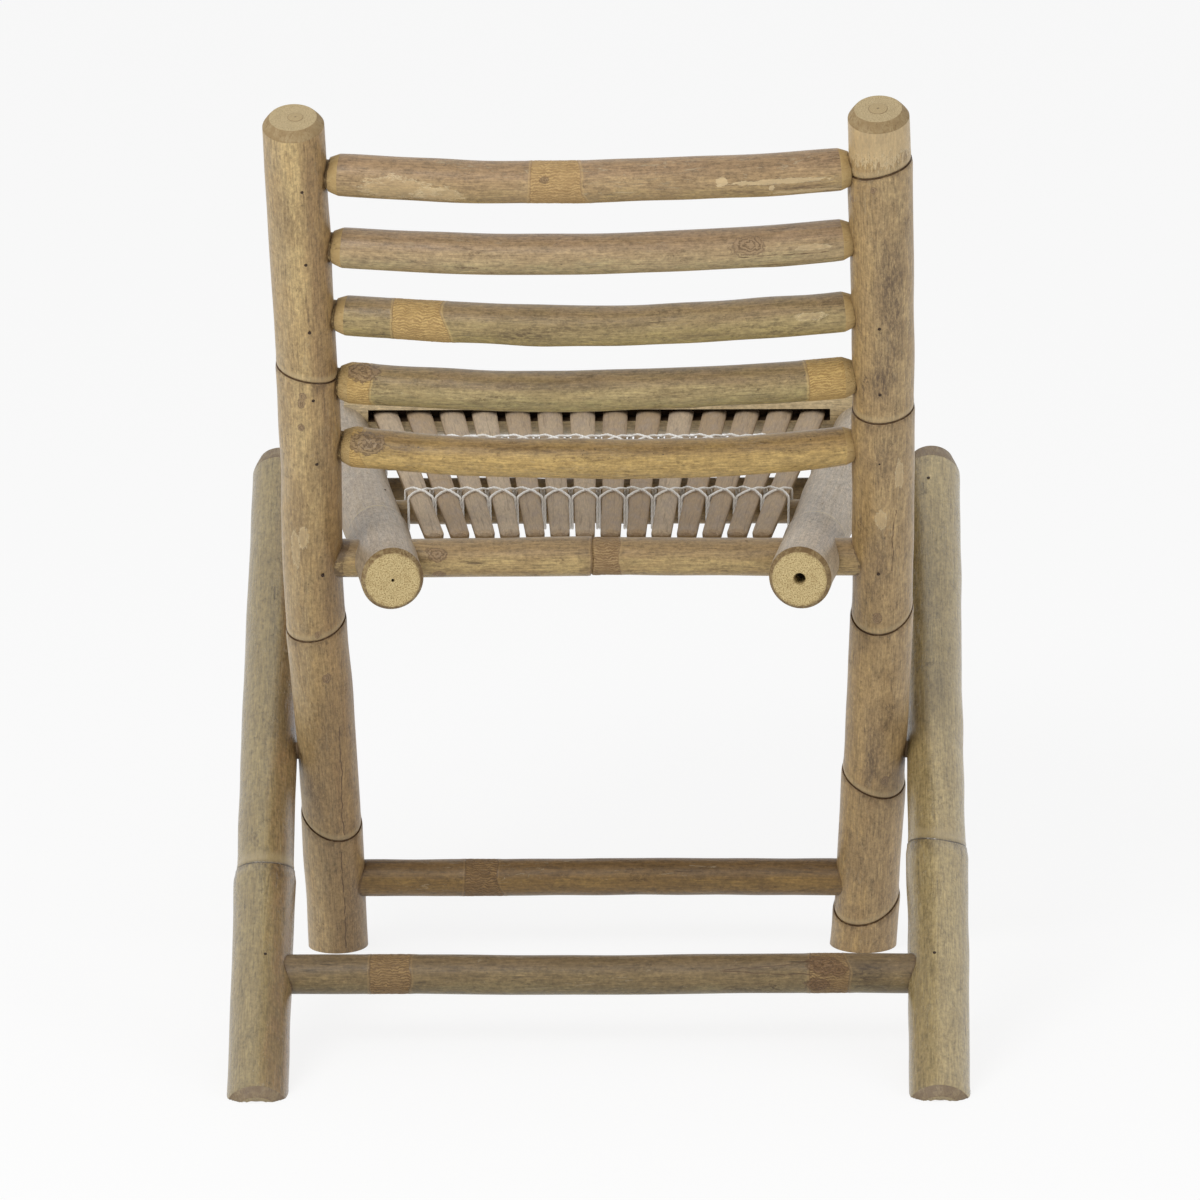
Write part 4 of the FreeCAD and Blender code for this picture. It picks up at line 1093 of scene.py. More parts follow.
LEG_NODES = {"left": ((0.2419, 0.0006, 0.0114),), "right": ((0.2698, -0.0024, 0.015),)}
LEG_GIRTH = {"left": ((0, 0.985), (0.15, 0.965), (0.30, 0.965), (0.35, 0.945), (1, 0.97)),
             "right": ((0, 0.98), (0.34, 0.97), (0.40, 0.955), (1, 0.98))}
LEG_BENDS = {"left": ((0.38, 0.14, -0.0018),), "right": ()}
# the legs' node line is darker and wider than on the other poles: partly the ring's dark line, partly
# painted shade of its groove
LEG_FINISH = dict(scuff=0.3, grime_amount=0.5, mould=0.35, gloss=0.9, polish=0.14, ring_pale=0.6,
                  ring_width=1.9, rim=(106, 84, 54), face=(164, 146, 108), dots=(128, 106, 72),
                  line=(52, 36, 20))
LEG_SKIN = {
    "left": dict(pale=(145, 128, 88), deep=(130, 112, 75), grime=(96, 80, 54), to_right=(136, 110, 76),
                 stains=((0.10, -60, 0.10, 24, 0.35), (0.55, -60, 0.12, 20, 0.3)), **LEG_FINISH),
    "right": dict(pale=(164, 146, 104), deep=(146, 127, 87), grime=(100, 86, 58), to_left=(142, 124, 84),
                  stains=((0.16, -110, 0.05, 16, 0.5), (0.55, -70, 0.10, 16, 0.3)), **LEG_FINISH),
}


def tip_end(radius):
    return sawn_end(radius, TIP_BEVEL_RUN)


def leg(side):
    """A leg: heel sawn square and cut flat by the floor, tip whittled over a longer stretch."""
    axis = Axis(leg_point(side, 0), leg_point(side, LEG_LENGTH), ACROSS)
    piece = culm(f"{side}_leg", axis, POLE_DIA, sawn_end, tip_end, LEG_NODES[side],
                 seed=21 + SIDES[side], girth=LEG_GIRTH[side], bends=LEG_BENDS[side], begin=-LEG_HEEL,
                 floor=True, below=0.0019, above=-0.0004, slope=0.012)
    near = []
    for up, dia in ((LEG_STRETCHER_UP, LEG_STRETCHER_DIA), (LEG_BAR_UP, LEG_BAR_DIA)):
        inner = leg_point(side, up) - ACROSS * SIDES[side] * POLE_DIA / 2
        near.append((tuple(inner), tuple(ACROSS), dia / 2, 0.02))
    post_line = unit(post_point(side, 0.25) - post_point(side, 0.2))
    near.append((tuple(post_point(side, 0.2)), tuple(post_line), POLE_DIA / 2, 1.0))
    material = bamboo(f"{side}_leg_bamboo", touching=near, **LEG_SKIN[side])
    return finish(piece, material, "leg_frame", "green_bamboo", f"leg_{side}")


def legs_near(up):
    """The two legs beside a rung at that distance up them, for the rung's contact dirt and painted contact
    shade.
    """
    return [(tuple(leg_point(side, up)), tuple(LEG_UP), POLE_DIA / 2, 0.1) for side in SIDES]


def leg_rung_axis(up):
    reach = POLE_DIA / 2 - SOCKET_DEPTH
    return Axis(leg_point("left", up) + ACROSS * reach, leg_point("right", up) - ACROSS * reach,
                -LEG_UPPER_SIDE)


LEGS = {side: leg(side) for side in SIDES}
straight_rung("leg_stretcher_culm", "leg_stretcher", "leg_frame", leg_rung_axis(LEG_STRETCHER_UP),
              LEG_STRETCHER_DIA,
              dict(pale=(128, 109, 74), deep=(103, 85, 56), grime=(64, 49, 32), upper=(115, 96, 68),
                   lower=(124, 110, 76), grime_amount=1.0, mould=0.7, scuff=0.45, crest=(150, 122, 80),
                   valley=(106, 82, 52), bark=(112, 84, 56), touching=legs_near(LEG_STRETCHER_UP),
                   stains=((0.885, -130, 0.030, 60, 0.9), (0.83, -165, 0.02, 20, 0.8)),
                   cracks=((0.673, 0.803, -145, -3.3, 0.0158), (0.673, 0.803, -143, 1.6, 0.0158))),
              "tan_bamboo", bands=((-0.184, -0.152, 0.001), (0.168, 0.196, -0.003)),
              scars=((0.457, -160, 0.009), (0.470, -145, 0.005), (0.452, -100, 0.006)), seed=63,
              below=0.0010, above=-0.0003)
straight_rung("leg_bar_culm", "leg_bar", "leg_frame", leg_rung_axis(LEG_BAR_UP), LEG_BAR_DIA,
              dict(pale=(146, 126, 92), deep=(122, 102, 72), grime=(86, 68, 48), grime_amount=0.8,
                   mould=0.6, scuff=0.5),
              "tan_bamboo", nodes=(-0.062,), seed=64, below=0.0008, above=-0.0003)


# seat frame

def bored_end(hole, depth):
    """A square saw cut with the culm's open pith in it."""
    def rows(radius):
        inner = [(depth, hole * 0.3, 2.0), (depth, hole * 0.85, 2.0), (0.0012, hole * 0.96, 2.0),
                 (0.0004, hole, 2.0), (0.0, hole * 1.08, 2.0)]
        return inner + [row for row in sawn_end(radius, inset=0.0030, run=0.0060) if row[1] > hole * 1.3]
    return rows


SEAT_POLE_FINISH = dict(mould=0.3, scuff=0.4, face=(207, 187, 138), dots=(150, 124, 78),
                        rim=(118, 94, 62), line=(62, 48, 36), gloss=0.25)
# heart is the pith hole's radius as a share of the pole's: the hole's inside is painted near black as shade
SEAT_POLE_SKIN = {
    "left": dict(pale=(160, 144, 122), deep=(143, 126, 105), grime=(116, 97, 76), lower=(140, 115, 80),
                 grime_amount=0.3, heart=0.05, **SEAT_POLE_FINISH),
    "right": dict(pale=(176, 161, 140), deep=(158, 142, 122), grime=(118, 99, 78), lower=(144, 119, 82),
                  grime_amount=0.4, heart=0.2, **SEAT_POLE_FINISH),
}
SEAT_POLE_NODES = {"left": ((0.144, 0.002, 0.001), (0.404, 0.0, 0.001)),
                   "right": ((0.121, -0.002, 0.001), (0.381, 0.0, 0.001))}
SEAT_POLE_PITH = {"left": (0.0012, 0.004), "right": (PITH_HOLE_DIA / 2, PITH_HOLE_DEPTH)}


def saddle(rings):
    """Points inside the leg bar's saddle rise onto its round surface."""
    bar = leg_point("left", LEG_BAR_UP)
    reach = LEG_BAR_DIA / 2 + SADDLE_GAP
    ahead = np.clip(np.abs(rings[..., 1] - bar[1]) / reach, 0, 1)
    roof = bar[2] + reach * np.sqrt(1 - ahead ** 2)
    over = (ahead < 1) & (rings[..., 2] < roof)
    rings[..., 2] = np.where(over, roof, rings[..., 2])
    return rings


def seat_pole(side):
    """A side pole of the seat: bored rear end, saddle over the leg bar near the front."""
    tail = seat_point(seat_pole_x(side, -SEAT_TAIL), -SEAT_TAIL, 0)
    nose = seat_point(seat_pole_x(side, SEAT_REACH), SEAT_REACH, 0)
    axis = Axis(tail, nose, ACROSS)
    piece = culm(f"{side}_seat_pole", axis, SEAT_POLE_DIA, bored_end(*SEAT_POLE_PITH[side]), sawn_end,
                 SEAT_POLE_NODES[side], seed=31 + SIDES[side], below=0.0012, above=-0.0006,
                 reshape=saddle, dense=((0.517, 0.558),))
    material = bamboo(f"{side}_seat_pole_bamboo", **SEAT_POLE_SKIN[side])
    return finish(piece, material, "seat_frame", "grey_bamboo", f"seat_pole_{side}")


for side in SIDES:
    seat_pole(side)


def seat_rung_axis(s, n):
    short = SEAT_POLE_DIA / 2 - ROD_SOCKET_DEPTH
    return Axis(seat_point(seat_pole_x("left", s) + short, s, n),
                seat_point(seat_pole_x("right", s) - short, s, n), -SEAT_FORWARD)


for name, node, s, seed in (("rear_rod_culm", "rear_lacing_rod", REAR_ROD_S, 71),
                            ("front_rod_culm", "front_lacing_rod", FRONT_ROD_S, 72)):
    straight_rung(name, node, "seat_frame", seat_rung_axis(s, LACING_ROD_LIFT), LACING_ROD_DIA,
                  dict(pale=(142, 118, 78), deep=(116, 94, 60), grime=(84, 66, 44), grime_amount=0.7,
                       mould=0.5, scuff=0.4), "grey_bamboo", nodes=(0.043,), seed=seed, below=0.0005,
                  above=-0.0002)


def along_slats(ends, s):
    """A size of the row of slats that changes evenly from their rear ends to their front ends."""
    return ends[0] + (ends[1] - ends[0]) * (s - SLAT_START_S) / (SLAT_END_S - SLAT_START_S)


def row_x(place_in_row, s):
    """Across the seat: so many pitches from the middle of the row of slats."""
    return along_slats(SLAT_SHIFT, s) + place_in_row * along_slats(SLAT_PITCH, s)


SLAT_BOTTOM = LACING_ROD_LIFT + LACING_ROD_DIA / 2


BAR_COLUMNS = 64
BAR_STUB_ROWS = 8
BAR_GROOVE_ROWS = 40


def front_bar():
    """The front bar: a circle carried across the seat, with a square groove let into its rear side
    between the outermost slats. The groove's points lie on the circle beyond its two ends."""
    axis = seat_rung_axis(FRONT_BAR_S, FRONT_BAR_LIFT)
    radius = FRONT_BAR_DIA / 2
    low = SLAT_BOTTOM - FRONT_BAR_LIFT
    high = low + GROOVE_HEIGHT
    deep = GROOVE_END_S - FRONT_BAR_S
    turn_low = math.asin(low / radius)
    turn_high = math.asin(high / radius)
    outside = np.linspace(turn_high, 2 * math.pi + turn_low, BAR_COLUMNS)
    inside = np.linspace(2 * math.pi + turn_low, 2 * math.pi + turn_high, 16)[1:-1]
    turns = np.concatenate([outside, inside])
    round_section = np.stack([-np.cos(turns), np.sin(turns)], axis=-1) * radius
    grooved = round_section.copy()
    path = np.array([(-math.cos(turn_low) * radius, low), (deep, low), (deep, high),
                     (-math.cos(turn_high) * radius, high)])
    steps = np.array([0, 0.25, 0.6, 0.9, 0.995, 1.0, 1.3, 1.7, 2.0, 2.005, 2.1, 2.4, 2.75, 3.0])
    for axis_number in (0, 1):
        grooved[BAR_COLUMNS:, axis_number] = np.interp(steps, np.arange(4), path[:, axis_number])
    half = SLAT_PITCH[1] * SLATS / 2
    middle = row_x(0, SLAT_END_S) - (axis.start - RAIL)[0]
    x = np.concatenate([[0], np.linspace(0.0004, middle - half, BAR_STUB_ROWS),
                        np.linspace(middle - half, middle + half, BAR_GROOVE_ROWS),
                        np.linspace(middle + half, axis.length - 0.0004, BAR_STUB_ROWS), [axis.length]])
    groove_rows = slice(1 + BAR_STUB_ROWS, 1 + BAR_STUB_ROWS + BAR_GROOVE_ROWS)
    cut = np.zeros(len(x))
    cut[groove_rows] = 1
    section = round_section + (grooved - round_section) * cut[:, None, None]
    section[0] *= 0.97
    section[-1] *= 0.97
    random = np.random.default_rng(81)
    waved = section * (1 + 0.012 * np.sin(x * 31 + 1.0)[:, None, None])
    point = axis.start + axis.along * x[:, None]
    rings = point[:, None] + SEAT_FORWARD * waved[..., :1] + SEAT_NORMAL * waved[..., 1:]
    # the groove's inside is marked as carved, so it takes the dark rim colour: painted shade in the slot
    carved = np.zeros(section.shape[:2])
    carved[groove_rows, BAR_COLUMNS:] = 1.0
    stem = np.concatenate([section, np.broadcast_to(x[:, None, None], section[..., :1].shape)], axis=-1)
    facing = unit(SEAT_FORWARD * section[..., :1] + SEAT_NORMAL * section[..., 1:])
    flat = np.zeros(section.shape[:2])
    attributes = {"stem": stem + random.uniform(0, 3, 3), "facing": facing, "ring": flat + 0.2,
                  "band": flat - 0.03, "trim": carved, "heart": flat + 1,
                  "share": flat + x[:, None] / axis.length, "scar": flat}
    piece = closed_mesh("seat_front_bar_culm", rings, attributes)
    # the dark rim and face colours fill the groove: painted shade in the slot where the slats go in
    material = bamboo("seat_front_bar_bamboo", (180, 160, 122), (160, 138, 100), (112, 92, 64),
                      grime_amount=0.5, mould=0.4, scuff=0.4, rim=(70, 52, 34), face=(104, 82, 54))
    return finish(piece, material, "seat_frame", "grey_bamboo", "seat_front_bar")


front_bar()


def slat_material():
    """Split bamboo gone grey: fine fibres along the strip, a tone of its own for each slat, browner
    streaks, and darker brown sides and underside."""
    material, t, shader = new_material("split_bamboo_strip")
    stem = t.attribute("stem", "Vector")
    fibre = t.noise(stem, (900, 900, 90), 5, 0.72)
    streak = t.noise(stem, (420, 420, 16), 4, 0.65)
    blotch = t.noise(stem, (110, 110, 40), 4, 0.7)
    tone = t.attribute("tone")
    base = t.mix(tone, srgb(160, 136, 106), srgb(188, 168, 141))
    base = t.mix(t.rise(blotch, 0.42, 0.70, 0.0, 0.6), base, srgb(158, 142, 127))
    base = t.mix(t.rise(streak, 0.52, 0.70, 0.0, 0.6), base, srgb(124, 106, 86))
    shade = t.swing(fibre, 1.4, 1.0)
    base = t.mix(1.0, base, t.grey(shade), "MULTIPLY")
    line = t.rise(t.math("ABSOLUTE", t.attribute("ring")), 0.0, 0.0007, 1.0, 0.0)
    base = t.mix(t.times(line, 0.5), base, srgb(92, 74, 56))
    cut = t.rise(t.attribute("trim"), 0.3, 0.7)
    base = t.mix(t.times(cut, 0.7), base, srgb(126, 102, 66))
    t.feed(shader.inputs["Base Color"], base)
    t.feed(shader.inputs["Roughness"], t.rise(fibre, 0.3, 0.7, 0.55, 0.75))
    shader.inputs["Specular IOR Level"].default_value = 0.25
    t.bump(shader, t.math("ADD", fibre, streak), 0.5, 0.0002)
    return material


SLAT_FINISH = slat_material()


def seat_slat(number):
    """A split strip that widens forward: a crowned top over a flat underside, carried along a line
    that wanders a little, its rear corners rounded off."""
    random = np.random.default_rng(200 + number)
    in_row = number - (SLATS + 1) / 2
    rear = seat_point(row_x(in_row, SLAT_START_S), SLAT_START_S, SLAT_BOTTOM)
    front = seat_point(row_x(in_row, SLAT_END_S), SLAT_END_S, SLAT_BOTTOM)
    length = np.linalg.norm(front - rear)
    along = unit(front - rear)
    across = np.cross(along, SEAT_NORMAL)
    node = random.uniform(0.10, 0.32)
    s = np.unique(np.concatenate([[0, 0.0004, 0.0012, 0.0025, 0.0045, 0.007], np.linspace(0.01, length, 56),
                                  node + np.array([-4, -2, -1, -0.4, 0, 0.4, 1, 2, 4]) * 0.001]))
    share = s / length
    width = (SLAT_WIDTH[0] + (SLAT_WIDTH[1] - SLAT_WIDTH[0]) * share) * random.uniform(0.97, 1.03)
    width = width * (1 + 0.02 * np.sin(share * 9 + random.uniform(0, 6)))
    width = width - 0.005 * (1 - smooth(s, 0, 0.005)) ** 2
    top = np.linspace(math.pi, 0, 21)
    x = np.concatenate([np.cos(top), np.linspace(0.97, -0.97, 7)])
    crown = SLAT_THICKNESS * (0.50 + 0.52 * np.sin(top) ** 1.1)
    z = np.concatenate([crown, np.zeros(7)])
    z[:1] = z[20:21] = SLAT_THICKNESS * 0.42
    lift = 1 - 0.25 * (1 - smooth(s, 0, 0.004)) ** 2
    bump = 0.0004 * np.exp(-((s - node) / 0.0012) ** 2) * (z > 0.002)[:, None]
    ripple = 0.00015 * np.sin(s * 90 + random.uniform(0, 6)) * (z > 0.002)[:, None]
    height = z[:, None] * lift + bump + ripple
    sway = 0.0003 * np.sin(share * math.pi * 2 + random.uniform(0, 6))
    rings = (rear + along * s[:, None, None] + across * (x * width[:, None] / 2 + sway[:, None])[..., None]
             + SEAT_NORMAL * height.T[..., None])
    rings = rings[:, ::-1]
    flat = np.zeros(rings.shape[:2])
    stem = np.stack([x[::-1] * width[:, None] / 2, height.T[:, ::-1], flat + s[:, None]], axis=-1)
    attributes = {"stem": stem + random.uniform(0, 3, 3), "tone": flat + random.uniform(0, 1),
                  "ring": flat + (s - node)[:, None],
                  "trim": flat + ((z < 0.0032) * 1.0)[::-1]}
    piece = closed_mesh(f"seat_slat_{number:02d}_strip", rings, attributes, 50)
    return finish(piece, SLAT_FINISH, "seat_frame", "split_bamboo", f"seat_slat_{number:02d}")


for number in range(1, SLATS + 1):
    seat_slat(number)


# lacing

def cord_material():
    """White cotton twine: two plies with painted shade in the furrow between them and a dusty tint."""
    material, t, shader = new_material("white_twine")
    stem = t.attribute("stem", "Vector")
    dust = t.noise(stem, (300, 300, 60), 4, 0.6)
    base = t.mix(t.rise(dust, 0.35, 0.70), srgb(252, 251, 248), srgb(234, 230, 222))
    # painted shade: grey in the furrow between the plies
    furrow_shade = t.rise(t.attribute("ply"), 0.0, 0.55, 1.0, 0.0)
    base = t.mix(t.times(furrow_shade, 0.35), base, srgb(168, 158, 144))
    t.feed(shader.inputs["Base Color"], base)
    shader.inputs["Roughness"].default_value = 0.75
    shader.inputs["Specular IOR Level"].default_value = 0.25
    return material


CORD_FINISH = cord_material()


def lacing_corners(rod_s, flipped):
    """One strand's corners: slantwise across each slat, down one side of the rod, under it and up the
    other. The flipped strand slants the other way, so the two cross on every slat. Inside a gap the
    strands lie side by side."""
    half = CORD_DIA / 2 + CORD_GAP
    out = LACING_ROD_DIA / 2 + half + CORD_STAND
    top = SLAT_BOTTOM + SLAT_THICKNESS + half + 0.0002
    bottom = LACING_ROD_LIFT - LACING_ROD_DIA / 2 - half
    one = rod_s + (-out if flipped else out)
    two = rod_s + (out if flipped else -out)
    aside = CORD_ASIDE if flipped else -CORD_ASIDE

    def gap_x(gap, s):
        if 0 < gap < SLATS:
            return row_x(gap - SLATS / 2, s) + aside
        edge = along_slats(SLAT_WIDTH, s) / 2 + half
        return row_x((SLATS - 1) / 2, s) + edge if gap else row_x((1 - SLATS) / 2, s) - edge

    corners = [seat_point(gap_x(0, two), two, bottom), seat_point(gap_x(0, one), one, bottom)]
    high = top + (0.0 if flipped else CORD_HUMP * 0.8)
    for gap in range(SLATS):
        middle = (gap_x(gap, one) + gap_x(gap + 1, two)) / 2
        corners += [seat_point(gap_x(gap, one), one, top - CORD_DIP),
                    seat_point(middle - CORD_CROSSING, rod_s + (one - rod_s) * 0.5, high),
                    seat_point(middle + CORD_CROSSING, rod_s + (two - rod_s) * 0.5, high),
                    seat_point(gap_x(gap + 1, two), two, top - CORD_DIP),
                    seat_point(gap_x(gap + 1, two), two, bottom),
                    seat_point(gap_x(gap + 1, one), one, bottom)]
    return np.array(corners)


def rounded(corners, reach):
    """Each corner gets a point on both its runs, then three rounds of corner cutting smooth the line."""
    back = corners[:-2] - corners[1:-1]
    on = corners[2:] - corners[1:-1]
    back_length = np.linalg.norm(back, axis=1, keepdims=True)
    on_length = np.linalg.norm(on, axis=1, keepdims=True)
    before = corners[1:-1] + back / back_length * np.minimum(reach, back_length * 0.4)
    after = corners[1:-1] + on / on_length * np.minimum(reach, on_length * 0.4)
    line = np.stack([before, corners[1:-1], after], axis=1).reshape(-1, 3)
    line = np.concatenate([corners[:1], line, corners[-1:]])
    for _ in range(3):
        cut = np.stack([line[:-1] * 0.75 + line[1:] * 0.25, line[:-1] * 0.25 + line[1:] * 0.75], axis=1)
        line = np.concatenate([line[:1], cut.reshape(-1, 3), line[-1:]])
    return line


def twine(name, line, rod_s):
    """Two-ply twine along a line: a ring of radius r(0.90 + 0.16 |cos|) that makes half a turn in each
    twist."""
    steps = np.concatenate([[0], np.cumsum(np.linalg.norm(np.diff(line, axis=0), axis=1))])
    distance = np.arange(0, steps[-1], 0.00055)
    points = np.stack([np.interp(distance, steps, line[:, k]) for k in range(3)], axis=-1)
    tangent = unit(np.gradient(points, axis=0))
    rod = seat_point(0, rod_s, SLAT_THICKNESS / 2)
    away = points - rod
    away[:, 0] = 0
    away = unit(away - tangent * np.sum(away * tangent, axis=1, keepdims=True))
    side = np.cross(tangent, away)
    angle = np.linspace(0, 2 * math.pi, 12, endpoint=False)[None, :]
    turn = angle - distance[:, None] / CORD_TWIST * math.pi
    ply = np.abs(np.cos(turn))
    radius = CORD_DIA / 2 * (0.90 + 0.16 * ply)
    rings = (points[:, None] + away[:, None] * (radius * np.cos(angle))[..., None]
             + side[:, None] * (radius * np.sin(angle))[..., None])
    stem = np.stack([np.cos(angle) * radius, np.sin(angle) * radius, distance[:, None] + 0 * radius],
                    axis=-1)
    return closed_mesh(name, rings, {"stem": stem, "ply": ply}, 180)


for name, rod_s in (("rear_lacing", REAR_ROD_S), ("front_lacing", FRONT_ROD_S)):
    strands = [twine(f"{name}_{flipped}", rounded(lacing_corners(rod_s, flipped), CORD_ROUNDING), rod_s)
               for flipped in (False, True)]
    finish(joined(f"{name}_twine", strands), CORD_FINISH, "seat_frame", "cord", name)


# small wood and metal

def turned(name, point, direction, profile, columns=20):
    """A profile of distances along and radii, turned round a line."""
    aside = unit(np.cross(direction, ACROSS if abs(direction @ ACROSS) < 0.9 else POST_UP))
    other = np.cross(direction, aside)
    angle = np.linspace(0, 2 * math.pi, columns, endpoint=False)
    profile = np.array(profile)
    spoke = aside * np.cos(angle)[:, None] + other * np.sin(angle)[:, None]
    rings = point + direction * profile[:, 0][:, None, None] + spoke * profile[:, 1][:, None, None]
    stem = np.stack([np.cos(angle) * profile[:, 1:2], np.sin(angle) * profile[:, 1:2],
                     profile[:, :1] + 0 * angle], axis=-1)
    heart = profile[:, 1:2] / profile[:, 1].max() + 0 * angle
    return closed_mesh(name, rings, {"stem": stem, "heart": heart}, 40)


def nail_material():
    """Wire nails gone dull: dark oxide with rusty patches."""
    material, t, shader = new_material("rusty_wire_nail")
    stem = t.attribute("stem", "Vector")
    rust = t.rise(t.noise(stem, (900, 900, 900), 4, 0.65), 0.42, 0.62)
    t.feed(shader.inputs["Base Color"], t.mix(rust, srgb(40, 34, 30), srgb(66, 46, 32)))
    t.feed(shader.inputs["Metallic"], t.scale_add(rust, -0.6, 0.7))
    t.feed(shader.inputs["Roughness"], t.scale_add(rust, 0.25, 0.5))
    return material


NAIL_FINISH = nail_material()


def nail(name, head, direction):
    """A shank from the surface inwards under a low domed head."""
    r = NAIL_HEAD_DIA / 2 * 0.8
    profile = [(-0.00035, r * 0.15), (-0.0003, r * 0.5), (-0.00015, r * 0.85), (0.0002, r),
               (0.0005, r * 0.97), (0.0006, NAIL_DIA / 2), (0.010, NAIL_DIA / 2), (0.0102, NAIL_DIA / 4)]
    return turned(name, head, direction, profile)


def surface_drop(dia, inset):
    return math.sqrt((dia / 2) ** 2 - (dia / 2 - inset) ** 2)


def nail_row(name, body, node, places):
    nails = [nail(f"{name}_{number}", point, direction)
             for number, (point, direction) in enumerate(places, start=1)]
    finish(joined(name, nails), NAIL_FINISH, body, "nail_steel", node)


def rung_nails(point_at, outward, heights, dia, inset):
    """Where a frame's nails go: through each pole into the end of each rung. A rung's two heights,
    left and right, are its distances along the poles."""
    drop = surface_drop(dia, inset)
    return [(point_at(side, up) - ACROSS * sign * (dia / 2 - inset) + outward * drop, -outward)
            for pair in heights for (side, sign), up in zip(SIDES.items(), pair)]


nail_row("back_nail_heads", "back_frame", "back_frame_nails",
         rung_nails(post_point, POST_REAR,
                    [*zip(*BACK_SLAT_UP.values()), (RAIL_UP, RAIL_UP),
                     (BACK_STRETCHER_UP, BACK_STRETCHER_UP)], POLE_DIA, NAIL_INSET))
nail_row("leg_nail_heads", "leg_frame", "leg_frame_nails",
         rung_nails(leg_point, LEG_UPPER_SIDE,
                    [(LEG_BAR_UP, LEG_BAR_UP), (LEG_STRETCHER_UP, LEG_STRETCHER_UP)], POLE_DIA, NAIL_INSET))


def seat_axis_point(side, s):
    return seat_point(seat_pole_x(side, s), s, 0)


nail_row("seat_nail_heads", "seat_frame", "seat_frame_nails",
         rung_nails(seat_axis_point, SEAT_NORMAL, [(REAR_ROD_S, REAR_ROD_S), (FRONT_ROD_S, FRONT_ROD_S)],
                    SEAT_POLE_DIA, SEAT_NAIL_INSET))


def dowel_material(name, pale, deep, core):
    """End grain of a wooden dowel: fine pores, a darker margin and a dark core."""
    material, t, shader = new_material(name)
    stem = t.attribute("stem", "Vector")
    grain = t.noise(stem, (1500, 1500, 120), 4, 0.65)
    base = t.mix(t.rise(grain, 0.38, 0.62), srgb(*deep), srgb(*pale))
    margin = t.rise(t.attribute("heart"), 0.84, 0.98)
    base = t.mix(t.times(margin, 0.7), base, srgb(92, 70, 46))
    base = t.mix(t.rise(t.attribute("heart"), core * 0.6, core + 0.001, 0.8, 0.0), base, srgb(70, 50, 32))
    t.feed(shader.inputs["Base Color"], base)
    t.feed(shader.inputs["Roughness"], t.rise(grain, 0.3, 0.7, 0.6, 0.75))
    return material


def dowel(name, point, direction, dia, length):
    """A dowel with slightly rounded ends."""
    r = dia / 2
    profile = [(0.0, r * 0.1), (0.0, r * 0.2), (0.0, r * 0.8), (0.0002, r * 0.93), (0.0007, r), (0.003, r),
               (length - 0.0007, r), (length - 0.0002, r * 0.93), (length, r * 0.8), (length, r * 0.2)]
    return turned(name, point, direction, profile, 40)


def crossing():
    """How far up the leg it crosses the post in the side view."""
    return POST_FOOT_Y * math.cos(POST_LEAN) / math.sin(LEG_LEAN + POST_LEAN)


def pole_side(piece, spot, pick):
    """How far from the middle plane a pole's surface lies beside a spot: pick is min or max."""
    points = np.empty(3 * len(piece.data.vertices), np.float32)
    piece.data.vertices.foreach_get("co", points)
    points = points.reshape(-1, 3).astype(float)
    near = np.hypot(points[:, 1] - spot[1], points[:, 2] - spot[2]) < PIN_DIA / 2 + 0.001
    return pick(np.abs(points[near, 0]))


def pivot_pins():
    """The two pivot dowels, their ends cut off just below the leg's outside and the post's inside."""
    pins = []
    for side, sign in SIDES.items():
        start = leg_point(side, crossing())
        inner = pole_side(POSTS[side], start, np.min) + PIN_RECESS
        outer = pole_side(LEGS[side], start, np.max) - PIN_RECESS
        start[0] = sign * inner
        pins.append(dowel(f"{side}_pin", start, ACROSS * sign, PIN_DIA, outer - inner))
    material = dowel_material("dowel_wood", (176, 148, 104), (132, 106, 70), 0.0)
    finish(joined("pivot_dowels", pins), material, "leg_frame", "post_bamboo", "pivot_pins")


def post_plugs():
    plugs = []
    for side in SIDES:
        top = post_point(side, POST_TOP_UP[side])
        down = unit(post_point(side, POST_LENGTH - 0.01) - top)
        plugs.append(dowel(f"{side}_plug", top - down * 0.0004, down, PLUG_DIA[side], PLUG_LENGTH))
    material = dowel_material("pith_plug_wood", (186, 166, 126), (152, 130, 92), 0.14)
    finish(joined("post_top_plugs", plugs), material, "back_frame", "post_bamboo", "post_plugs")


pivot_pins()
post_plugs()


# studio

CAMERA_DISTANCE = 6.0
CAMERA_PITCH = math.radians(13.5)
CAMERA_YAW = math.radians(-0.729)
CAMERA_ROLL = math.radians(-0.326)
CAMERA_AIM = (-0.0005, 0.350, 0.3149)
FOCAL_PIXELS = 7267
IMAGE_PIXELS = 1200


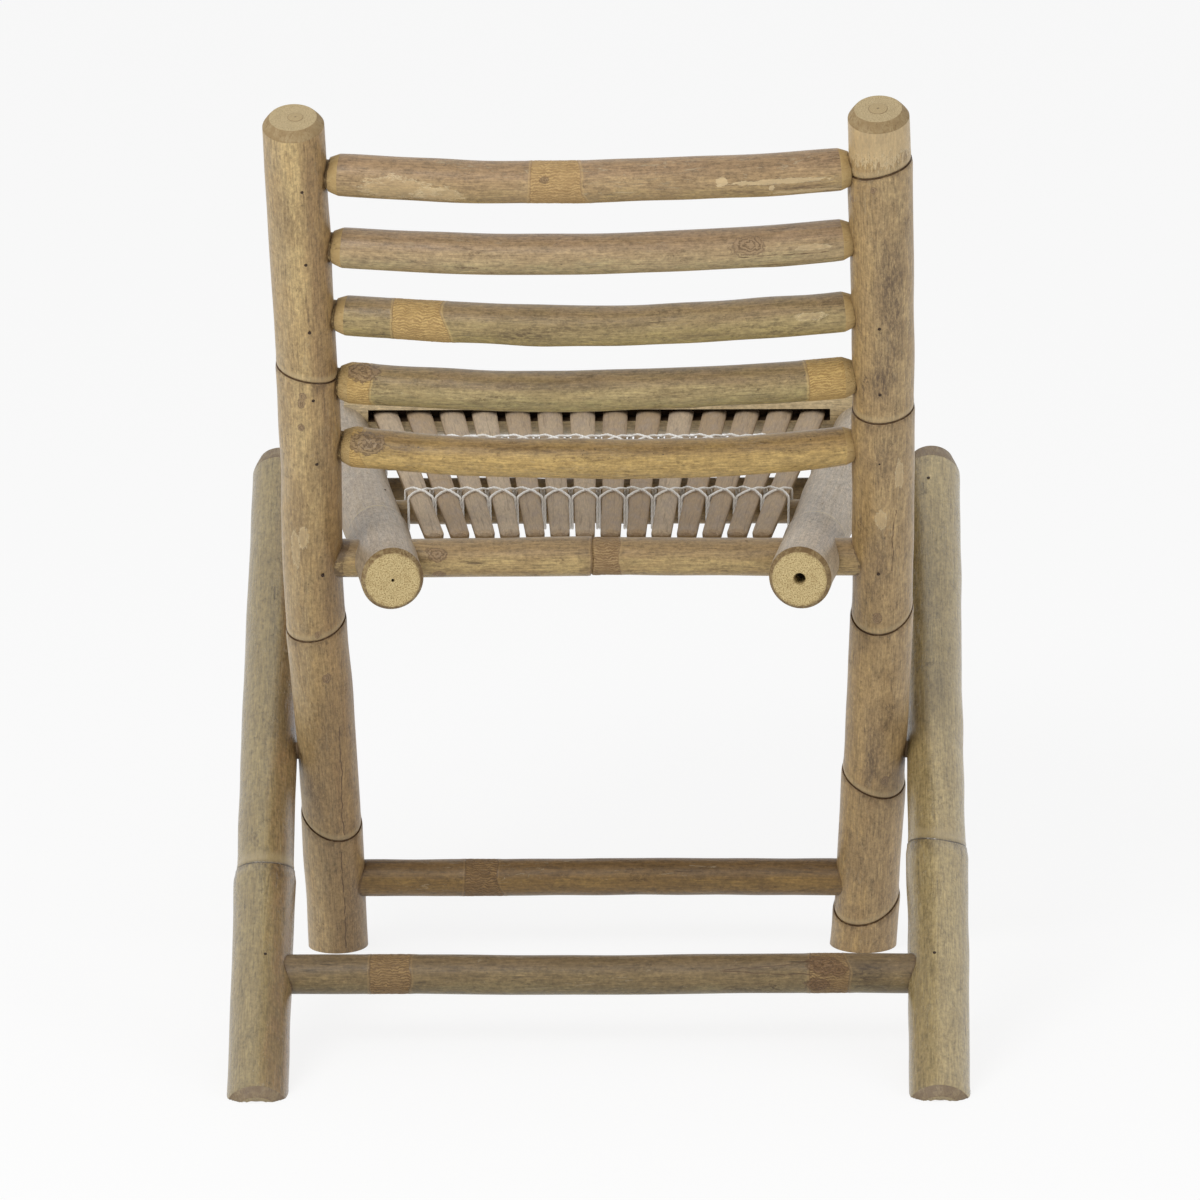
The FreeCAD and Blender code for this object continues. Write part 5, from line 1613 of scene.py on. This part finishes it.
def camera():
    """A long lens behind the chair, looking along +Y and down, at the photograph's angle."""
    ahead = np.array([math.sin(CAMERA_YAW) * math.cos(CAMERA_PITCH),
                      math.cos(CAMERA_YAW) * math.cos(CAMERA_PITCH), -math.sin(CAMERA_PITCH)])
    level = np.array([math.cos(CAMERA_YAW), -math.sin(CAMERA_YAW), 0])
    above = np.cross(level, ahead)
    right = level * math.cos(CAMERA_ROLL) + above * math.sin(CAMERA_ROLL)
    up = above * math.cos(CAMERA_ROLL) - level * math.sin(CAMERA_ROLL)
    spot = place(*CAMERA_AIM) - ahead * CAMERA_DISTANCE
    data = bpy.data.cameras.new("camera")
    data.sensor_fit = "HORIZONTAL"
    data.lens = FOCAL_PIXELS / IMAGE_PIXELS * data.sensor_width
    data.clip_end = 100
    item = bpy.data.objects.new("camera", data)
    columns = np.stack([right, up, -ahead, spot], axis=-1)
    item.matrix_world = Matrix([*columns.tolist(), [0, 0, 0, 1]])
    bpy.context.scene.collection.objects.link(item)
    bpy.context.scene.camera = item


def lamp(name, spot, target, size, power):
    data = bpy.data.lights.new(name, "AREA")
    data.shape = "RECTANGLE"
    data.size, data.size_y = size
    data.energy = power
    item = bpy.data.objects.new(name, data)
    item.location = spot
    item.rotation_euler = (Vector(target) - Vector(spot)).to_track_quat("-Z", "Y").to_euler()
    bpy.context.scene.collection.objects.link(item)


def floor():
    """A wide pale floor that keeps the shadow."""
    reach = 15.0
    mesh = bpy.data.meshes.new("studio_floor")
    mesh.from_pydata([(-reach, -reach, 0), (reach, -reach, 0), (reach, reach, 0), (-reach, reach, 0)], [],
                     [(0, 1, 2, 3)])
    item = bpy.data.objects.new("studio_floor", mesh)
    bpy.context.scene.collection.objects.link(item)
    material, t, shader = new_material("studio_floor_paint")
    shader.inputs["Base Color"].default_value = (0.90, 0.90, 0.90, 1)
    shader.inputs["Roughness"].default_value = 0.9
    shader.inputs["Specular IOR Level"].default_value = 0.1
    white = t.node("ShaderNodeEmission")
    blend = t.node("ShaderNodeMixShader")
    t.feed(blend.inputs[0], t.times(t.seen(), 0.84))
    t.feed(blend.inputs[1], shader.outputs[0])
    t.feed(blend.inputs[2], white.outputs[0])
    t.feed(material.node_tree.nodes["Material Output"].inputs["Surface"], blend.outputs[0])
    mesh.materials.append(material)


def world():
    """Even pale light all round; white where the camera or a reflection sees it."""
    item = bpy.data.worlds.new("studio_world")
    item.use_nodes = True
    bpy.context.scene.world = item
    t = Tree(item.node_tree)
    ground = item.node_tree.nodes["Background"]
    t.feed(ground.inputs["Strength"], t.rise(t.seen(), 0.0, 1.0, 0.62, 1.0))
    ground.inputs["Color"].default_value = (1, 1, 1, 1)


camera()
floor()
world()
lamp("key_lamp", (-1.8, -2.6, 2.6), (0, 0, 0.4), (2.0, 1.4), 62)
lamp("fill_lamp", (2.6, -1.8, 1.6), (0, 0, 0.4), (1.6, 1.6), 14)
bpy.context.scene.view_settings.view_transform = "Standard"
